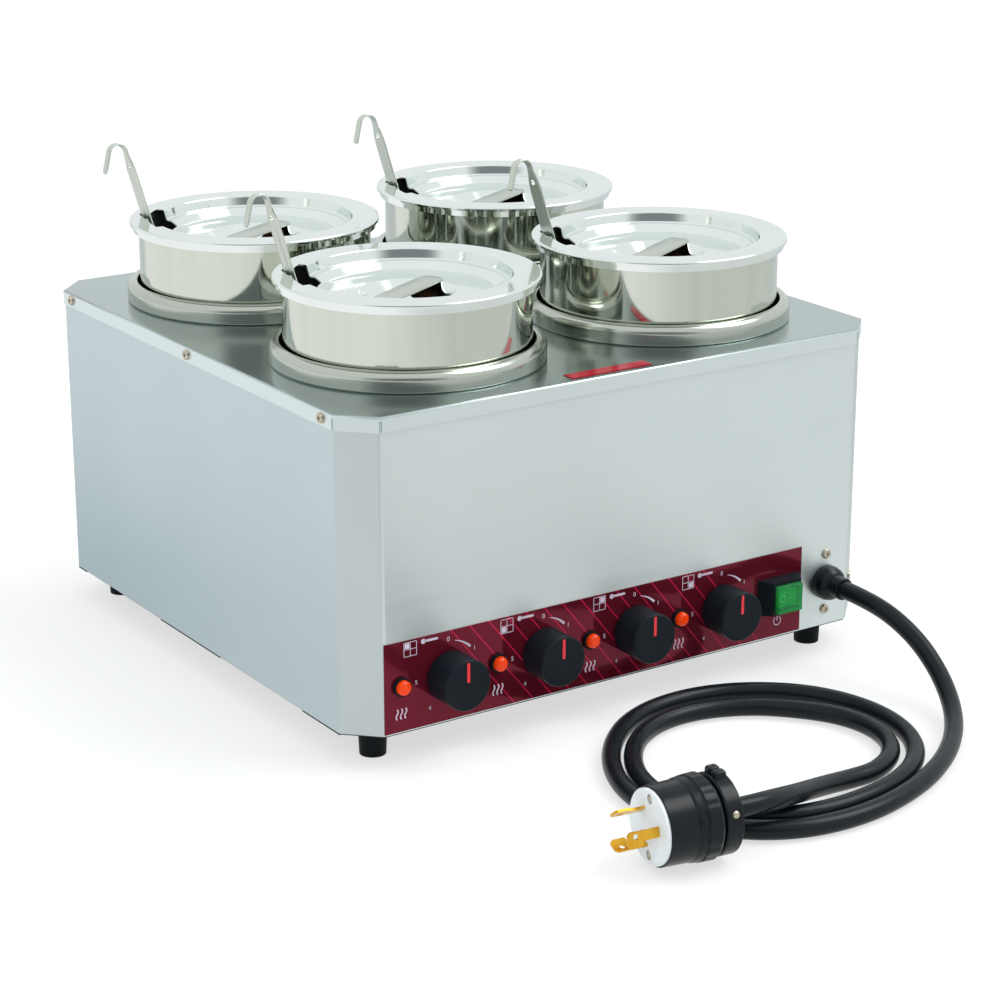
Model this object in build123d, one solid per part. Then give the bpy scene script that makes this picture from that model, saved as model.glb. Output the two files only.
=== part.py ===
from build123d import *
import math
import os

os.makedirs("parts", exist_ok=True)

# Countertop food warmer with four round wells.
# Millimetres. The origin is on the worktop under the middle of the cabinet, +Z is up and the controls face -Y.

# Sheet metal and the gaps between pieces
sheet = 1.2
bend = 1.6
rest_gap = 0.3
running_gap = 0.05
hole_gap = 0.3

# Inset pots
pot_radius = 87.5
pot_height = 201.4
pot_wall = 1.0
pot_corner = 12.0
pot_rise = 59.7
rim_reach = 4.0
rim_drop = 6.5
rim_bend = 1.2

# Lids
lid_sheet = 0.9
lid_overhang = 2.5
lid_edge_drop = 3.0
lid_flange = 20.0
lid_wall_run = 2.0
lid_wall_drop = 8.0
lid_ledge = 4.0
lid_slope_run = 6.0
lid_slope_drop = 5.0
recess_radius = 34.0
recess_slope_run = 11.0
recess_depth = 11.0
recess_round = 8.0
lid_round = 2.0
slot_reach = 17.0
slot_edge = 14.0
slot_start = 130.0
slot_end = 176.0
notch_edge = 6.5
notch_start = 140.0
notch_end = 154.0
strap_width = 19.0
strap_sheet = 1.2
strap_lap = 6.0
strap_bearing = 29.0

# Ladles
ladle_lean = 15.3
ladle_bearing = 148.0
ladle_turn = 32.0
ladle_slot_gap = 6.0
handle_width = 13.0
handle_sheet = 2.0
handle_above_lid = 52.0
handle_seat = 6.0
handle_taper = 17.0
hook_width = 6.5
hook_radius = 6.0
hook_turn = 150.0
hook_leg = 17.0
hang_hole_radius = 2.2
hang_hole_drop = 12.0
bowl_radius = 30.0
bowl_wall = 1.0

# Wells and their rings on the deck
pot_gap = 3.5
well_wall = 1.0
well_corner = 8.0
well_flange = 3.5
ring_sheet = 1.0
ring_width = 7.8
ring_rise = 15.0
ring_round = 3.0
ring_lap = 4.0
ring_spacing = 23.0
deck_margin = 18.5

# Heaters and insulation under and round the wells
heater_edge = 7.0
heater_thickness = 5.0
heater_pin_radius = 3.0
heater_pin_length = 12.0
heater_pin_offset = 20.0
insulation_thickness = 10.0
insulation_top_gap = 6.0

# Cabinet
foot_height = 23.8
control_space = 82.0
corner_chamfer = 22.3
lip_height = 11.0
slit_radius = 0.9
return_flange = 12.0
bottom_flange = 12.0
front_tab = 50.0
middle_tab = (-32.0, 61.0)
rear_tab = 13.5

# Feet
foot_inset = 32.0
foot_top_radius = 10.4
foot_bottom_radius = 9.4
foot_bore_radius = 4.6
foot_bore_depth = 9.0

# Screws
screw_radius = 2.0
screw_head_radius = 3.7
screw_head_height = 1.8
screw_length = 9.0
cross_width = 1.0
cross_depth = 0.9
nut_radius = 4.0
nut_height = 3.2
lip_screw_inset = 36.0
lip_screw_drop = 5.5
plate_screw_spacing = 43.6
chamfer_screw_height = 54.0

# Control row on the front panel
label_sheet = 0.5
label_edge = 1.0
label_height = 65.0
control_rise = 34.0
cord_zone = 44.7
first_knob_inset = 51.2
switch_inset = 21.5
last_knob_gap = 53.3
lamp_offset = 38.0
strip_length = 67.0
strip_width = 11.0
strip_left = 156.0
strip_edge = 10.0

# Knobs and thermostats
knob_radius = 18.3
knob_depth = 24.0
knob_gap = 1.0
knob_round = 1.6
knob_bore_depth = 16.0
shaft_radius = 3.0
shaft_flat = 0.8
bush_radius = 5.0
thermostat_width = 34.0
thermostat_height = 34.0
thermostat_depth = 26.0
thermostat_bore_depth = 10.0
bulb_radius = 3.0
bulb_length = 34.0
capillary_radius = 1.0
capillary_bend = 5.0
capillary_run = 12.0

# Pilot lamps
lamp_body_radius = 5.5
lamp_body_length = 22.0
bezel_radius = 6.8
bezel_depth = 2.4
lens_radius = 5.3
lens_depth = 4.2
lens_round = 2.2

# Rocker switch
switch_base = (39.0, 27.0)
switch_front = (26.0, 25.0)
switch_depth = 10.5
switch_mouth = (20.0, 19.0)
switch_body = (30.0, 22.0)
switch_body_depth = 22.0
cover_depth = 4.6
cover_wall = 0.9
rocker_length = 15.0
rocker_height = 12.0
rocker_depth = 9.5
rocker_dip = 1.0
rocker_throw = 18.0
rocker_pin_radius = 1.5
rocker_pin_reach = 2.0
rocker_pivot_depth = 5.0

# Cord gland
gland_inset = 20.7
gland_flange_radius = 13.0
gland_flange_depth = 6.0
gland_nose_length = 16.0
gland_nose_radius = 11.0
gland_tip_radius = 8.2
gland_barrel_radius = 10.0
gland_barrel_length = 12.0
gland_nut_radius = 14.5
gland_nut_depth = 5.0

# Cord and plug
cord_radius = 6.65
floor_gap = 0.25
plug_rear = (-92.0, -452.5, 29.5)
plug_turn = 7.2
plug_straight = 18.0
plug_clamp_length = 15.0
plug_clamp_radius = 25.5
plug_ear_reach = 32.0
plug_ear_length = 10.0
plug_ear_width = 17.0
plug_split = 1.0
plug_body_length = 34.5
plug_rear_radius = 28.5
plug_front_radius = 24.8
plug_face_depth = 4.5
plug_face_screw_radius = 3.3
plug_face_screw_depth = 2.5
plug_face_screw_offset = 19.0
blade_circle = 12.5
blade_sheet = 1.7
blade_turns = (50, 170, 290)
blade_length = 22.5
blade_neck = 6.6
blade_neck_length = 11.5
blade_width = 10.2
blade_tip = 2.0
blade_hole_radius = 2.0
blade_hole_from_tip = 6.0

# Terminal block and wiring
terminal_length = 46.0
terminal_width = 20.0
terminal_height = 18.0
terminal_setback = 70.0
terminal_slot = 6.0
wire_radius = 1.6
wire_bend = 5.0
wire_run = 14.0
wire_level = 42.0
wire_level_step = 6.0
wire_offset = 9.0

# Heights above the worktop
panel_bottom = foot_height + sheet
well_floor = panel_bottom + control_space + well_wall
pot_bottom = well_floor + rest_gap
rim_top = pot_bottom + pot_height
deck_top = rim_top - pot_rise
deck_underside = deck_top - sheet
lid_top = rim_top + rest_gap + lid_sheet
lid_floor = lid_top - lid_wall_drop - lid_slope_drop
control_height = panel_bottom + control_rise
heater_top = well_floor - well_wall
floor_level = cord_radius + floor_gap

# Plan sizes
well_radius = pot_radius + pot_gap
well_outer = well_radius + well_wall
ring_inner = well_radius - rest_gap - ring_sheet
ring_outer = ring_inner + ring_width
well_pitch = 2 * ring_outer + ring_spacing
half_width = well_pitch / 2 + ring_outer + deck_margin
well_flat = well_radius - well_corner
heater_radius = well_flat - heater_edge
lid_radius = pot_radius + rim_reach + lid_overhang
slot_outer = lid_radius - slot_edge
slot_inner = slot_outer - slot_reach
notch_outer = lid_radius - notch_edge
front = -half_width
front_inside = front + sheet
label_front = front - label_sheet
label_left = corner_chamfer - half_width
label_right = half_width - corner_chamfer - cord_zone
switch_x = label_right - switch_inset
first_knob = label_left + first_knob_inset
knob_pitch = (switch_x - last_knob_gap - first_knob) / 3
knob_places = [first_knob + n * knob_pitch for n in range(4)]
gland_x = half_width - corner_chamfer - gland_inset
gland_tip = front - gland_flange_depth - gland_nose_length
plug_way = math.radians(plug_turn)
cord_end_x = plug_rear[0] + plug_straight * math.cos(plug_way)
cord_end_y = plug_rear[1] - plug_straight * math.sin(plug_way)

# Wells in the order of the knobs that heat them: back left, front left, back right, front right
well_places = [(x * well_pitch / 2, y * well_pitch / 2) for x in (-1, 1) for y in (1, -1)]

# Cord from the gland to the plug, laid in two loose turns that wind inward
cord_route = [
    (gland_x, gland_tip, control_height),
    (gland_x, -270, control_height),
    (186, -296, 53),
    (190, -320, 40.5),
    (188.5, -342, 27),
    (181, -363, 16.5),
    (166, -386, 9.8),
    (144, -409, 7.3),
    (117, -430, floor_level),
    (87, -447.5, floor_level),
    (55, -460, floor_level),
    (23, -467.5, floor_level),
    (-8, -468.5, floor_level),
    (-37, -463, floor_level),
    (-61, -450, floor_level),
    (-80, -431, floor_level),
    (-93, -407, floor_level),
    (-98, -380, floor_level),
    (-95, -353, floor_level),
    (-86, -328, floor_level),
    (-72, -304, floor_level),
    (-54, -283, floor_level),
    (-32, -265, floor_level),
    (-7, -253, floor_level),
    (20, -248, floor_level),
    (46, -249.5, floor_level),
    (70, -257, floor_level),
    (92, -270, floor_level),
    (111, -288, floor_level),
    (124, -311, floor_level),
    (130.5, -337, floor_level),
    (130, -364, floor_level),
    (122, -390, floor_level),
    (107, -413, floor_level),
    (86, -431, floor_level),
    (61, -442.5, floor_level),
    (33, -449, floor_level),
    (5, -451, floor_level),
    (-21, -447.5, floor_level),
    (-43, -437.5, floor_level),
    (-62, -422, floor_level),
    (-75, -401, floor_level),
    (-81, -378, floor_level),
    (-79, -354, floor_level),
    (-71, -331, floor_level),
    (-57, -309, floor_level),
    (-39, -290, floor_level),
    (-17, -277, floor_level),
    (7, -271, floor_level),
    (31, -272.5, floor_level),
    (54, -280.5, floor_level),
    (76, -294.5, floor_level),
    (100, -322.5, floor_level),
    (109.5, -345.5, floor_level),
    (110, -370, floor_level),
    (101.5, -393, floor_level),
    (84.5, -411, floor_level),
    (61.5, -421.5, floor_level),
    (38.5, -423.5, 8.2),
    (16, -427.5, 11.4),
    (-5, -434.5, 15.8),
    (-24, -442.5, 20.6),
    (-41, -449, 25),
    (-57.5, -453.5, 28.2),
    (cord_end_x, cord_end_y, plug_rear[2]),
    plug_rear,
]


def block(low, high):
    """Upright box between two opposite corners."""
    size = [b - a for a, b in zip(low, high)]
    return Pos(*low) * Box(*size, align=(Align.MIN, Align.MIN, Align.MIN))


def rod(start, direction, radius, length):
    """Round bar from a start point along a direction."""
    bar = Cylinder(radius, length, align=(Align.CENTER, Align.CENTER, Align.MIN))
    return Plane(origin=start, z_dir=direction) * bar


def taper(start, direction, radius, end_radius, length):
    """Round tapered bar from a start point along a direction."""
    bar = Cone(radius, end_radius, length, align=(Align.CENTER, Align.CENTER, Align.MIN))
    return Plane(origin=start, z_dir=direction) * bar


def pressed(points, radii, wall, side):
    """Round sheet-metal shell: a (radius, height) line with rounded bends, thickened to one side, turned about Z."""
    line = FilletPolyline(*points, radius=radii)
    face = make_face(offset(line, wall, side=side, closed=True))
    return revolve(Plane.XZ * face, Axis.Z)


def tube(points, radii, radius):
    """Round tube along straight runs joined by tangent arcs."""
    path = FilletPolyline(*points, radius=radii)
    first_run = Vector(*points[1]) - Vector(*points[0])
    return sweep(Plane(origin=points[0], z_dir=first_run) * Circle(radius), path=path)


def largest_bends(points):
    """Radius at each inner point: 0.45 of the shorter run beside it over the tangent of half the turn."""
    spots = [Vector(*point) for point in points]
    radii = []
    for before, here, after in zip(spots, spots[1:], spots[2:]):
        run_in = here - before
        run_out = after - here
        half_turn = math.radians(run_in.get_angle(run_out)) / 2
        radii.append(0.45 * min(run_in.length, run_out.length) / math.tan(half_turn))
    return radii


def outline(grow):
    """Corners of the cabinet's plan with chamfered corners, grown outward by a distance."""
    side = half_width + grow
    flat = side - corner_chamfer - grow * (2 - math.sqrt(2))
    quarter = [(side, -flat), (side, flat), (flat, side), (-flat, side)]
    return quarter + [(-x, -y) for x, y in quarter]


def slab(grow, low, high):
    """Plate with the cabinet's plan, grown outward, between two heights."""
    face = make_face(Polyline(*outline(grow), close=True))
    return Pos(0, 0, low) * extrude(face, high - low)


def screw(place, direction, length):
    """Pan-head screw with a cross recess; the place is under the head and the direction points out of the head."""
    head = Cylinder(screw_head_radius, screw_head_height, align=(Align.CENTER, Align.CENTER, Align.MIN))
    head = fillet(head.edges().group_by(Axis.Z)[-1], screw_head_height / 2)
    shank = Pos(0, 0, -length) * Cylinder(screw_radius, length, align=(Align.CENTER, Align.CENTER, Align.MIN))
    recess = Box(screw_head_radius, cross_width, cross_depth * 2)
    recess += Box(cross_width, screw_head_radius, cross_depth * 2)
    return Plane(origin=place, z_dir=direction) * (head + shank - Pos(0, 0, screw_head_height) * recess)


def screw_hole(place, direction):
    """Clearance hole for a screw, through the sheets on both sides of a place."""
    reach = screw_length
    start = Vector(*place) - Vector(*direction) * reach
    return rod(start, direction, screw_radius + hole_gap, 2 * reach)


# Where the screws through the sheet metal stand, with the way each head faces
lip_out = half_width + sheet
lip_screw_height = deck_top - lip_screw_drop
lip_screw_run = half_width - lip_screw_inset
lip_screws = [
    ((side * lip_out, n * lip_screw_run, lip_screw_height), (side, 0, 0)) for side in (-1, 1) for n in (-1, 0, 1)
]
plate_screws = [((gland_x, front, control_height + n * plate_screw_spacing / 2), (0, -1, 0)) for n in (-1, 1)]
chamfer_middle = half_width - corner_chamfer / 2
chamfer_screw = ((chamfer_middle, -chamfer_middle, chamfer_screw_height), (math.sqrt(0.5), -math.sqrt(0.5), 0))
feet_places = [(x * (half_width - foot_inset), y * (half_width - foot_inset)) for x in (-1, 1) for y in (-1, 1)]


def make_deck():
    """Flat top with a turned-down lip, slit at the ends of each corner tab, and a hole over each well."""
    deck = slab(sheet, deck_top - lip_height, deck_top) - slab(0, deck_top - lip_height, deck_underside)
    for x, y in outline(sheet / 2):
        deck -= Pos(x, y, deck_top - lip_height) * rod((0, 0, 0), (0, 0, 1), slit_radius, lip_height - sheet - bend)
    for x, y in well_places:
        deck -= rod((x, y, deck_underside - sheet), (0, 0, 1), well_outer + bend, 3 * sheet)
    for place, direction in lip_screws:
        deck -= screw_hole(place, direction)
    return deck


def make_end_panel():
    """Sheet across the front with both chamfers bent from it, and a return flange behind each side panel."""
    seam = front + corner_chamfer
    band = slab(0, panel_bottom, deck_underside) - slab(-sheet, panel_bottom, deck_underside)
    panel = band & block((-half_width, front, panel_bottom), (half_width, seam, deck_underside))
    for side in (-1, 1):
        inner = side * (half_width - sheet)
        low = min(inner, inner - side * sheet)
        panel += block((low, seam - sheet, panel_bottom + bottom_flange + sheet),
                       (low + sheet, seam + return_flange, deck_underside))
    for place, direction in lip_screws:
        panel -= screw_hole(place, direction)
    return panel


def make_front_panel():
    """Front sheet with the holes for the controls, the gland and its screws."""
    panel = make_end_panel() - control_holes()
    panel -= rod((gland_x, front - sheet, control_height), (0, 1, 0), gland_barrel_radius + hole_gap, 3 * sheet)
    for place, direction in plate_screws + [chamfer_screw]:
        panel -= screw_hole(place, direction)
    return panel


def control_holes():
    """Holes that the lamps, thermostats and switch share in the front panel and the label."""
    start = label_front - sheet
    depth = label_sheet + 3 * sheet
    holes = []
    for x in knob_places:
        holes.append(rod((x, start, control_height), (0, 1, 0), bush_radius + hole_gap, depth))
        holes.append(rod((x - lamp_offset, start, control_height), (0, 1, 0), lamp_body_radius + hole_gap, depth))
    half_x = switch_body[0] / 2 + hole_gap
    half_z = switch_body[1] / 2 + hole_gap
    holes.append(block((switch_x - half_x, start, control_height - half_z),
                       (switch_x + half_x, start + depth, control_height + half_z)))
    return holes


def make_side_panel(side):
    """Flat sheet between the front and rear chamfers."""
    outer = side * half_width
    low = min(outer, outer - side * sheet)
    flat = half_width - corner_chamfer
    panel = block((low, -flat, panel_bottom), (low + sheet, flat, deck_underside))
    for place, direction in lip_screws:
        if direction[0] == side:
            panel -= screw_hole(place, direction)
    return panel


def make_bottom_cover():
    """Pan that closes the cabinet from below, with an upturned flange and tabs under the side panels."""
    cover = slab(-sheet, foot_height, panel_bottom + bottom_flange)
    cover -= slab(-2 * sheet, panel_bottom, panel_bottom + bottom_flange)
    seam = front + corner_chamfer
    for low, high in [(seam, seam + front_tab), middle_tab, (-seam - rear_tab, -seam)]:
        for side in (-1, 1):
            inner = side * (half_width - 2 * sheet)
            edges = sorted((inner, side * half_width))
            cover += block((edges[0], low, foot_height), (edges[1], high, panel_bottom))
    for place, direction in plate_screws + [chamfer_screw]:
        cover -= screw_hole(place, direction)
    for x, y in feet_places:
        cover -= rod((x, y, foot_height - sheet), (0, 0, 1), screw_radius + hole_gap, 3 * sheet)
    return cover


def make_well():
    """Round heated cup that hangs by its flange on the deck."""
    flange = deck_top + well_wall
    line = [(0, well_floor), (well_radius, well_floor), (well_radius, flange), (well_outer + well_flange, flange)]
    return pressed(line, [well_corner, bend], well_wall, Side.RIGHT)


def make_collar_ring():
    """Pressed ring that stands on the deck, covers the flange of the well and laps into its mouth."""
    top = deck_top + ring_rise
    line = [(ring_outer, deck_top), (ring_outer, top), (ring_inner, top), (ring_inner, deck_top - ring_lap)]
    return pressed(line, [ring_round, ring_round], ring_sheet, Side.LEFT)


def make_heater():
    """Plate heater under a well with two connection pins."""
    plate = rod((0, 0, heater_top), (0, 0, -1), heater_radius, heater_thickness)
    for side in (-1, 1):
        pin = (side * heater_pin_offset, 0, heater_top - heater_thickness)
        plate += rod(pin, (0, 0, -1), heater_pin_radius, heater_pin_length)
    return plate


def make_insulation():
    """Fibre sleeve round the wall of a well."""
    inner = well_outer + rest_gap
    length = deck_underside - insulation_top_gap - well_floor - well_corner
    start = (0, 0, well_floor + well_corner)
    return rod(start, (0, 0, 1), inner + insulation_thickness, length) - rod(start, (0, 0, 1), inner, length)


def make_pot():
    """Straight-sided inset pot with a rolled rim."""
    flange = rim_top - pot_wall
    lip = pot_radius + rim_reach - pot_wall
    line = [(0, pot_bottom), (pot_radius, pot_bottom), (pot_radius, flange), (lip, flange), (lip, rim_top - rim_drop)]
    return pressed(line, [pot_corner, rim_bend, rim_bend], pot_wall, Side.LEFT)


def make_lid():
    """Lid with a flat flange, a stepped dish, a finger recess and a slot for the ladle."""
    wall_top = lid_radius - lid_flange
    wall_foot = wall_top - lid_wall_run
    ledge = lid_top - lid_wall_drop
    slope_top = wall_foot - lid_ledge
    slope_foot = slope_top - lid_slope_run
    recess_floor = lid_floor - recess_depth
    line = [
        (0, recess_floor),
        (recess_radius - recess_slope_run, recess_floor),
        (recess_radius, lid_floor),
        (slope_foot, lid_floor),
        (slope_top, ledge),
        (wall_foot, ledge),
        (wall_top, lid_top),
        (lid_radius, lid_top),
        (lid_radius, lid_top - lid_edge_drop),
    ]
    lid = pressed(line, [recess_round, lid_round, lid_round, lid_round, bend, bend, bend], lid_sheet, Side.RIGHT)
    height = lid_top - recess_floor + lid_sheet
    slot = Rot(0, 0, slot_start) * Cylinder(slot_outer, height, arc_size=slot_end - slot_start, align=None)
    slot += Rot(0, 0, notch_start) * Cylinder(notch_outer, height, arc_size=notch_end - notch_start, align=None)
    slot -= Cylinder(slot_inner, height, align=None)
    return lid - Pos(0, 0, recess_floor) * slot


def make_strap():
    """Flat strap across the finger recess, lying on the floor of the lid at both ends."""
    length = 2 * (recess_radius + strap_lap)
    strap = Box(length, strap_width, strap_sheet, align=(Align.CENTER, Align.CENTER, Align.MIN))
    strap = fillet(strap.edges().filter_by(Axis.Z), strap_width / 4)
    return Pos(0, 0, lid_floor) * Rot(0, 0, strap_bearing) * strap


def make_ladle():
    """Ladle with a flat handle, a narrow hook and a round bowl, leaning in its slot, the bowl on the pot's floor."""
    lean = math.radians(ladle_lean)
    bearing = math.radians(ladle_bearing)
    bowl_height = pot_bottom + pot_wall + rest_gap + bowl_radius
    seat_height = bowl_height - bowl_radius * math.sin(lean) * math.cos(math.radians(ladle_turn))
    slot_place = notch_outer - ladle_slot_gap
    seat_place = slot_place - (lid_top - seat_height) * math.tan(lean)
    bend_start = (lid_top - seat_height) / math.cos(lean) + handle_above_lid
    skin = handle_sheet - bowl_wall

    half = handle_width / 2
    shoulder = bend_start - handle_taper
    edge = [(-handle_seat, half), (shoulder, half), (bend_start, hook_width / 2)]
    flat = make_face(Polyline(*edge, *[(along, -wide) for along, wide in reversed(edge)], close=True))
    strip = extrude(Plane.YZ.offset(skin - handle_sheet) * flat, handle_sheet)
    hook = CenterArc((skin + hook_radius, bend_start), hook_radius, 180, -hook_turn)
    leg = PolarLine(hook @ 1, hook_leg, direction=hook % 1)
    bent = make_face(offset(hook + leg, handle_sheet, side=Side.LEFT, closed=True))
    strip += extrude(bent, hook_width / 2, both=True)
    hole = (skin + handle_sheet, bend_start - hang_hole_drop, 0)
    strip -= rod(hole, (-1, 0, 0), hang_hole_radius, 3 * handle_sheet)

    shell = Sphere(bowl_radius) - Sphere(bowl_radius - bowl_wall)
    shell &= Pos(0, -bowl_radius, 0) * Box(2 * bowl_radius, 2 * bowl_radius, 2 * bowl_radius)
    strip -= Pos(-bowl_radius, 0, 0) * Sphere(bowl_radius - bowl_wall)

    across = (math.sin(bearing), -math.cos(bearing), 0)
    outward = (math.cos(bearing) * math.cos(lean), math.sin(bearing) * math.cos(lean), -math.sin(lean))
    seat = (seat_place * math.cos(bearing), seat_place * math.sin(bearing), seat_height)
    place = Plane(origin=seat, x_dir=outward, z_dir=across)
    return place * Rot(0, ladle_turn, 0) * (strip + Pos(-bowl_radius, 0, 0) * shell)


def make_thermostat(x):
    """Thermostat box behind the front panel, with a bush through it and a blind bore for the shaft."""
    bush_length = front_inside - label_front + knob_gap - rest_gap
    half = thermostat_width / 2
    body = block((x - half, front_inside, control_height - thermostat_height / 2),
                 (x + half, front_inside + thermostat_depth, control_height + thermostat_height / 2))
    body += rod((x, front_inside, control_height), (0, -1, 0), bush_radius, bush_length)
    bore = (x, front_inside - bush_length, control_height)
    return body - rod(bore, (0, 1, 0), shaft_radius + running_gap, bush_length + thermostat_bore_depth)


def make_knob(x):
    """Plain round knob with a rounded front edge and a blind bore."""
    back = label_front - knob_gap
    knob = rod((x, back, control_height), (0, -1, 0), knob_radius, knob_depth)
    knob = fillet(knob.edges().group_by(Axis.Y)[0], knob_round)
    return knob - rod((x, back, control_height), (0, -1, 0), shaft_radius + running_gap, knob_bore_depth)


def make_shaft(x):
    """Thermostat shaft with a flat where the knob grips it."""
    inner_end = front_inside + thermostat_bore_depth - rest_gap
    outer_end = label_front - knob_gap - knob_bore_depth + rest_gap
    shaft = rod((x, inner_end, control_height), (0, -1, 0), shaft_radius, inner_end - outer_end)
    flat = control_height + shaft_radius - shaft_flat
    return shaft - block((x - shaft_radius, outer_end, flat),
                         (x + shaft_radius, label_front - knob_gap, flat + shaft_radius))


def make_capillary(x, well):
    """Sensing bulb under the rim of a well's floor, with its thin tube from the thermostat."""
    bulb_y = well[1] - well_flat
    bulb_z = heater_top - bulb_radius - rest_gap
    end = well[0] - bulb_length / 2
    back = front_inside + thermostat_depth
    level = control_height + thermostat_height / 2 + capillary_run
    points = [
        (x, back, control_height),
        (x, back + capillary_run, control_height),
        (x, back + capillary_run, level),
        (end - capillary_run, bulb_y, level),
        (end - capillary_run, bulb_y, bulb_z),
        (end, bulb_y, bulb_z),
    ]
    line = tube(points, capillary_bend, capillary_radius)
    return line + rod((end, bulb_y, bulb_z), (1, 0, 0), bulb_radius, bulb_length)


def make_lamp(x):
    """Pilot lamp body through the panel with a round bezel on the label."""
    lamp = rod((x, label_front, control_height), (0, -1, 0), bezel_radius, bezel_depth)
    return lamp + rod((x, label_front, control_height), (0, 1, 0), lamp_body_radius, lamp_body_length)


def make_lens(x):
    """Jewel lens on the front of a pilot lamp."""
    lens = rod((x, label_front - bezel_depth, control_height), (0, -1, 0), lens_radius, lens_depth)
    return fillet(lens.edges().group_by(Axis.Y)[0], lens_round)


def on_switch(depth):
    """Plane across the switch, a depth out from the label, facing the front with +X to the right."""
    return Plane(origin=(switch_x, label_front - depth, control_height), x_dir=(1, 0, 0), z_dir=(0, -1, 0))


def make_switch_housing():
    """Tapered shroud on the label with the switch body behind it and a mouth for the rocker."""
    base = on_switch(0) * Rectangle(*switch_base)
    shroud = loft([base, on_switch(switch_depth) * Rectangle(*switch_front)])
    body = extrude(on_switch(-switch_body_depth) * Rectangle(*switch_body), switch_body_depth)
    mouth = extrude(on_switch(0) * Rectangle(*switch_mouth), switch_depth)
    pin_length = switch_mouth[1] + 2 * (rocker_pin_reach + rest_gap)
    pin = (switch_x, label_front - rocker_pivot_depth, control_height - pin_length / 2)
    return shroud + body - mouth - rod(pin, (0, 0, 1), rocker_pin_radius + running_gap, pin_length)


def make_rocker():
    """Rocker with a shallow dip in its face, on a pin along Z, resting with its left end pressed in."""
    half = rocker_length / 2
    rise = switch_depth + cover_depth - cover_wall - rocker_pivot_depth - rocker_dip - 2 * rest_gap
    face = Polyline((-half, rocker_dip + rise - rocker_depth), (half, rocker_dip + rise - rocker_depth),
                    (half, rise), (0, rise - rocker_dip), (-half, rise), close=True)
    rocker = extrude(make_face(face), rocker_height / 2, both=True)
    pin_length = switch_mouth[1] + 2 * rocker_pin_reach
    rocker += Cylinder(rocker_pin_radius, pin_length)
    centre = (switch_x, label_front - rocker_pivot_depth, control_height)
    pivot = Plane(origin=centre, x_dir=(-1, 0, 0), z_dir=(0, 0, 1))
    return pivot * Rot(0, 0, -rocker_throw / 2) * rocker


def make_switch_cover():
    """See-through hood over the rocker, standing on the shroud."""
    width, height = (side + 2 * cover_wall for side in switch_mouth)
    hood = extrude(on_switch(switch_depth) * Rectangle(width, height), cover_depth)
    hood = fillet(hood.edges().group_by(Axis.Y)[0], cover_wall / 2)
    return hood - extrude(on_switch(switch_depth) * Rectangle(*switch_mouth), cover_depth - cover_wall)


def make_labels():
    """Control label on the front panel and the plain strip on the front edge of the deck."""
    low = panel_bottom + label_edge
    label = block((label_left, label_front, low), (label_right, front, low + label_height))
    label -= control_holes()
    start = label_left + strip_left
    strip = block((start, front + strip_edge - strip_width / 2, deck_top),
                  (start + strip_length, front + strip_edge + strip_width / 2, deck_top + label_sheet))
    return [label, strip]


def make_gland():
    """Cord gland: barrel through the front panel, flange and a tapered nose along the cord."""
    centre = (gland_x, front, control_height)
    gland = rod(centre, (0, -1, 0), gland_flange_radius, gland_flange_depth)
    nose = (gland_x, front - gland_flange_depth, control_height)
    gland += taper(nose, (0, -1, 0), gland_nose_radius, gland_tip_radius, gland_nose_length)
    return gland + rod(centre, (0, 1, 0), gland_barrel_radius, sheet + gland_barrel_length)


def make_gland_nut():
    """Six-sided nut on the gland's barrel behind the panel."""
    plane = Plane(origin=(gland_x, front_inside, control_height), z_dir=(0, 1, 0))
    nut = extrude(plane * RegularPolygon(gland_nut_radius, 6), gland_nut_depth)
    bore = (gland_x, front_inside, control_height)
    return nut - rod(bore, (0, 1, 0), gland_barrel_radius + running_gap, gland_nut_depth)


# The plug's own frame: the origin at its cord end and the face towards -X
plug_place = Pos(*plug_rear) * Rot(0, 0, -plug_turn)


def make_plug_clamp():
    """Two clamp halves round the cord, split upright, with a pair of screw ears on top."""
    clamp = rod((0, 0, 0), (-1, 0, 0), plug_clamp_radius, plug_clamp_length)
    middle = -plug_clamp_length / 2
    clamp += block((middle - plug_ear_length / 2, -plug_ear_width / 2, 0),
                   (middle + plug_ear_length / 2, plug_ear_width / 2, plug_ear_reach))
    clamp -= Pos(middle, 0, 0) * Box(plug_clamp_length, plug_split, 2 * plug_ear_reach)
    return [plug_place * half for half in clamp.solids()]


def make_plug_body():
    """Plug shell that narrows towards its face."""
    body = taper((-plug_clamp_length, 0, 0), (-1, 0, 0), plug_rear_radius, plug_front_radius, plug_body_length)
    return plug_place * body


def make_plug_face():
    """Round insulating face with two recesses for its screws."""
    back = -plug_clamp_length - plug_body_length
    face = rod((back, 0, 0), (-1, 0, 0), plug_front_radius, plug_face_depth)
    for side in (-1, 1):
        place = (back - plug_face_depth, 0, side * plug_face_screw_offset)
        face -= rod(place, (1, 0, 0), plug_face_screw_radius, plug_face_screw_depth)
    return plug_place * face


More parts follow.
